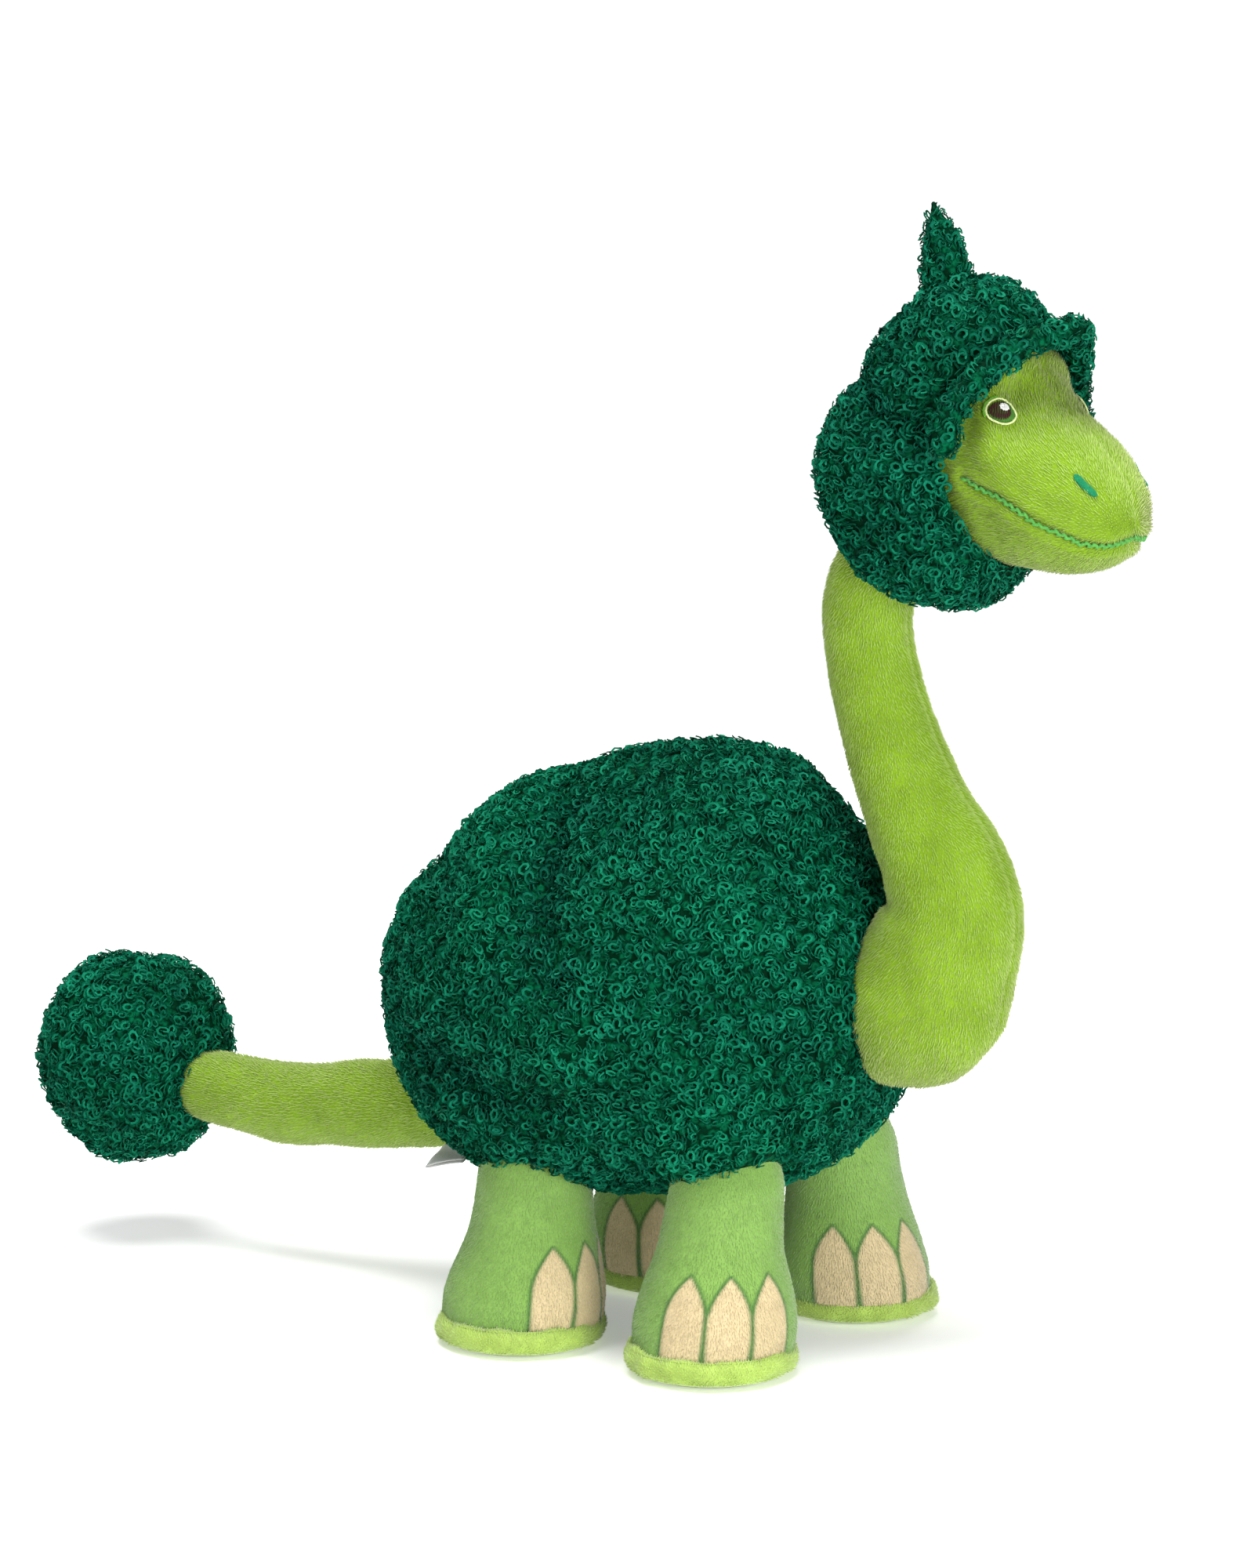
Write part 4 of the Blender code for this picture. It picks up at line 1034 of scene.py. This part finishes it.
def build_eyes(surface_at):
    for side, name in ((1, "left"), (-1, "right")):
        point, normal = on_face(*EYE_AT[side], side)[:2]
        level, rise = level_frame(normal)

        def place(offsets, proud):
            return surface_at([point + level * a + rise * b for a, b in offsets], proud)

        def satin(piece, material, middle, half, proud, lean=0.1, step=0.36):
            """An ellipse filled with upright stitches, two to a column."""
            centres, lengths = [], []
            for number, a in enumerate(np.arange(-half[0] + step / 2, half[0], step)):
                reach = half[1] * math.sqrt(1 - (a / half[0]) ** 2)
                split = 0.35 * reach * (1 if number % 2 else -1)
                for end in (reach, -reach):
                    centres.append((middle[0] + a, middle[1] + (end + split) / 2))
                    lengths.append(abs(end - split) + 0.4)
            ways = np.tile(rise + level * lean, (len(centres), 1))
            centres, normals = place(centres, proud)
            stitches(piece + name, "head", material, centres, ways, normals, lengths, (),
                     width=0.5, thick=0.5)

        def arc(piece, material, half, start, end, count, length, proud, slant=0.3):
            turn = np.linspace(start, end, count, endpoint=False)
            offsets = np.stack([half[0] * np.cos(turn), half[1] * np.sin(turn)], 1)
            ways = np.array([-level * math.sin(a) * half[0] + rise * math.cos(a) * half[1] for a in turn])
            outs = np.array([level * math.cos(a) + rise * math.sin(a) for a in turn])
            centres, normals = place(offsets, proud)
            stitches(piece + name, "head", material, centres, unit(ways) + slant * outs, normals,
                     np.full(count, length), ("eye_" + name,), width=0.6, thick=0.55)

        arc("eye_lid_", SHADE_LIGHT, (5.4, 4.3), math.radians(95), math.radians(195), 22, 1.1, 0.75, 1.6)
        satin("eye_shade_", SHADE, (0.3, -0.2), (4.2, 3.1), 0.75)
        satin("iris_stitches_", BROWN, (-0.45, 0.15), (3.3, 2.6), 0.95, 0.25)
        satin("eye_light_", WHITE, (0.8, 1.1), (1.3, 1.05), 1.2, -0.5, 0.3)
        arc("eye_ring_", PALE, (4.75, 3.6), 0, 2 * math.pi, 46, 1.0, 0.95)


def build_leg(body, seed):
    name = body.removeprefix("leg_")
    hip, foot = PIVOT[body], foot_under(PIVOT[body])
    nails = np.radians(NAILS[body])

    def printed(points, along, angle):
        """Cream toenails with a dark line round each, dyed on the green."""
        middle = hip + (foot - hip) * ((hip[2] - points[..., 2]) / hip[2])[..., None]
        offset = points - middle
        around = np.arctan2(offset[..., 1], offset[..., 0])
        radius = np.hypot(offset[..., 0], offset[..., 1])
        colour = np.ones((*around.shape, 4))
        colour[..., :3] = LEG_GREEN
        rise = np.clip((points[..., 2] - NAIL_LOW) / (NAIL_HIGH - NAIL_LOW), 0, 1)
        taper = 1 - np.clip((rise - 0.52) / 0.48, 0, 1) ** 2.1
        half = math.radians(NAIL_SPREAD / 2) * radius * taper * (0.94 + 0.06 * np.clip(rise / 0.5, 0, 1))
        for nail in nails:
            turn = (around - nail + math.pi) % (2 * math.pi) - math.pi
            inside = half - np.abs(turn) * radius
            inside = np.where(rise >= 1, -9, inside)
            share = np.clip(inside / 0.5, 0, 1)[..., None]
            line = np.exp(-((inside / NAIL_LINE) ** 2))[..., None] * (np.abs(inside) < 3)[..., None]
            colour[..., :3] = colour[..., :3] * (1 - share) + np.array(NAIL_CREAM) * share
            colour[..., :3] = colour[..., :3] * (1 - line) + np.array(NAIL_OUTLINE) * line
        return colour

    places = [*np.linspace(-1, 0, 10)[:-1], *np.linspace(0, 0.4, 16)[:-1], *np.linspace(0.4, 1, 56)]
    fabric = form("leg_fabric_" + name, leg_surface(hip, foot), places, 200, LEG_PLUSH,
                  [inset(0.3), lumps(18.0, 1.1, seed * 0.7)], tint=printed)
    settle(fabric, body, ("leg_cover_" + name, "leg_stuffing_" + name))
    pile("leg_pile_" + name, fabric, body, "plush_leg", LEG_PLUSH, seed,
         Length=SHORT_PILE_LENGTH * MM, Thickness=0.18 * MM, Lean=1.9, Scatter=0.1)
    build_sole(name, body, foot, seed)


def build_sole(name, body, foot, seed):
    rough = lumps(6.0, 0.9, seed * 0.3)
    sculpt = [lambda points, along, angle: rough(points, along, angle) * (points[..., 2] > 1.5)]
    fabric = form("sole_fabric_" + name, sole_surface(foot), np.linspace(0, 1, 49), 110, SOLE_PLUSH, sculpt,
                  bare=lambda points, along, angle: 1.0 * (points[..., 2] > 1.2) * (along > 0.12),
                  flip_nap=True)
    settle(fabric, body, ("sole_" + name,))
    pile("sole_pile_" + name, fabric, body, "sole", SOLE_PLUSH, seed + 5,
         Length=SHORT_PILE_LENGTH * MM, Lean=0.9, Scatter=0.3)


def build_label():
    """A loop of ribbon, folded at its free end, with nothing on it."""
    low, high = (np.array(corner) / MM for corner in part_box("care_label"))
    middle, half = (low[1] + high[1]) / 2, (high[1] - low[1]) / 2
    length = high[0] - low[0]
    slope = math.tan(math.radians(LABEL_DROOP))
    rows = []
    for share in np.linspace(0, 1, 25):
        turn = share * 2 - 1
        back = length * (1 - abs(turn))
        gap = 0.45 * np.sign(turn) * math.sqrt(max(1 - (1 - abs(turn)) ** 6, 0))
        rows.append((high[0] - back, high[2] - back * slope - 0.4 + gap))
    rows = np.array(rows)
    columns = 13
    points = []
    for x, z in rows:
        for y in np.linspace(-half, half, columns):
            points.append((x, middle + y, z + LABEL_TILT * y + 0.25 * math.sin(y * 0.7 + x * 0.3)))
    corners = [at for at in range((len(rows) - 1) * columns) if (at + 1) % columns]
    faces = [(at, at + 1, at + columns + 1, at + columns) for at in corners]
    mesh = bpy.data.meshes.new("label_ribbon")
    mesh.from_pydata((np.array(points) * MM).tolist(), [], faces)
    mesh.shade_smooth()
    ribbon = link("label_ribbon", mesh, RIBBON)
    wall = ribbon.modifiers.new("weave", "SOLIDIFY")
    wall.thickness, wall.offset = 0.25 * MM, 0
    settle(ribbon, "label", ("care_label",))


def build_stage():
    bpy.ops.mesh.primitive_circle_add(vertices=96, radius=1.15, fill_type="NGON")
    floor = bpy.context.object
    floor.name = "floor"
    floor.location = (0, 0, -0.0004)
    material = bpy.data.materials.new("pale floor")
    material.use_nodes = True
    shader = material.node_tree.nodes["Principled BSDF"]
    shader.inputs["Base Color"].default_value = (0.95, 0.95, 0.95, 1)
    shader.inputs["Roughness"].default_value = 0.9
    shader.inputs["Specular IOR Level"].default_value = 0.1
    shader.inputs["Emission Color"].default_value = (1, 1, 1, 1)
    shader.inputs["Emission Strength"].default_value = 0.3
    floor.data.materials.append(material)
    world = bpy.data.worlds.new("studio")
    bpy.context.scene.world = world
    world.use_nodes = True
    tree = world.node_tree
    seen = add(tree, "ShaderNodeLightPath").outputs["Is Camera Ray"]
    tree.nodes["Background"].inputs["Color"].default_value = (1, 1, 1, 1)
    tree.links.new(ranged(tree, seen, 0.0, 1.0, 0.15, 1.1), tree.nodes["Background"].inputs["Strength"])
    bpy.context.scene.view_settings.view_transform = "Standard"


def area_light(name, place, aim, size, power):
    data = bpy.data.lights.new(name, "AREA")
    data.shape, data.size, data.energy = "DISK", size, power
    lamp = bpy.data.objects.new(name, data)
    bpy.context.scene.collection.objects.link(lamp)
    lamp.location = place
    lamp.rotation_euler = (Vector(aim) - Vector(place)).to_track_quat("-Z", "Y").to_euler()


def build_camera():
    distance_m, target = 1.4, Vector((0.0218, 0, 0.152))
    turn, rise = math.radians(32), math.radians(8.5)
    back = Vector((math.sin(turn) * math.cos(rise), -math.cos(turn) * math.cos(rise), math.sin(rise)))
    data = bpy.data.cameras.new("view")
    data.sensor_fit = "VERTICAL"
    data.angle = 2 * math.atan(HALF_VIEW)
    camera = bpy.data.objects.new("view", data)
    bpy.context.scene.collection.objects.link(camera)
    camera.location = target + back * distance_m
    camera.rotation_euler = back.to_track_quat("Z", "Y").to_euler()
    bpy.context.scene.camera = camera


build_camera()
build_stage()
area_light("top", (0.05, -0.35, 1.9), (0.03, 0, 0.12), 1.3, 44)
area_light("key", (-0.3, -1.6, 0.8), (0.03, 0, 0.12), 1.0, 2.5)
area_light("fill", (1.55, -0.95, 0.5), (0.05, 0, 0.2), 1.0, 27)
area_light("back", (-0.4, 1.3, 1.4), (0.03, 0, 0.12), 1.0, 9)
build_torso()
build_club()
build_hood()
build_horn()
build_neck()
build_tail()
build_face()
for number, leg in enumerate(LEG_BODIES):
    build_leg(leg, 200 + 10 * number)
build_label()
for node_name, node in frame["nodes"].items():
    if "stuffing" in node_name or "pouch" in node_name:
        for material_slot in node.material_slots:
            material_slot.material = FIBRE
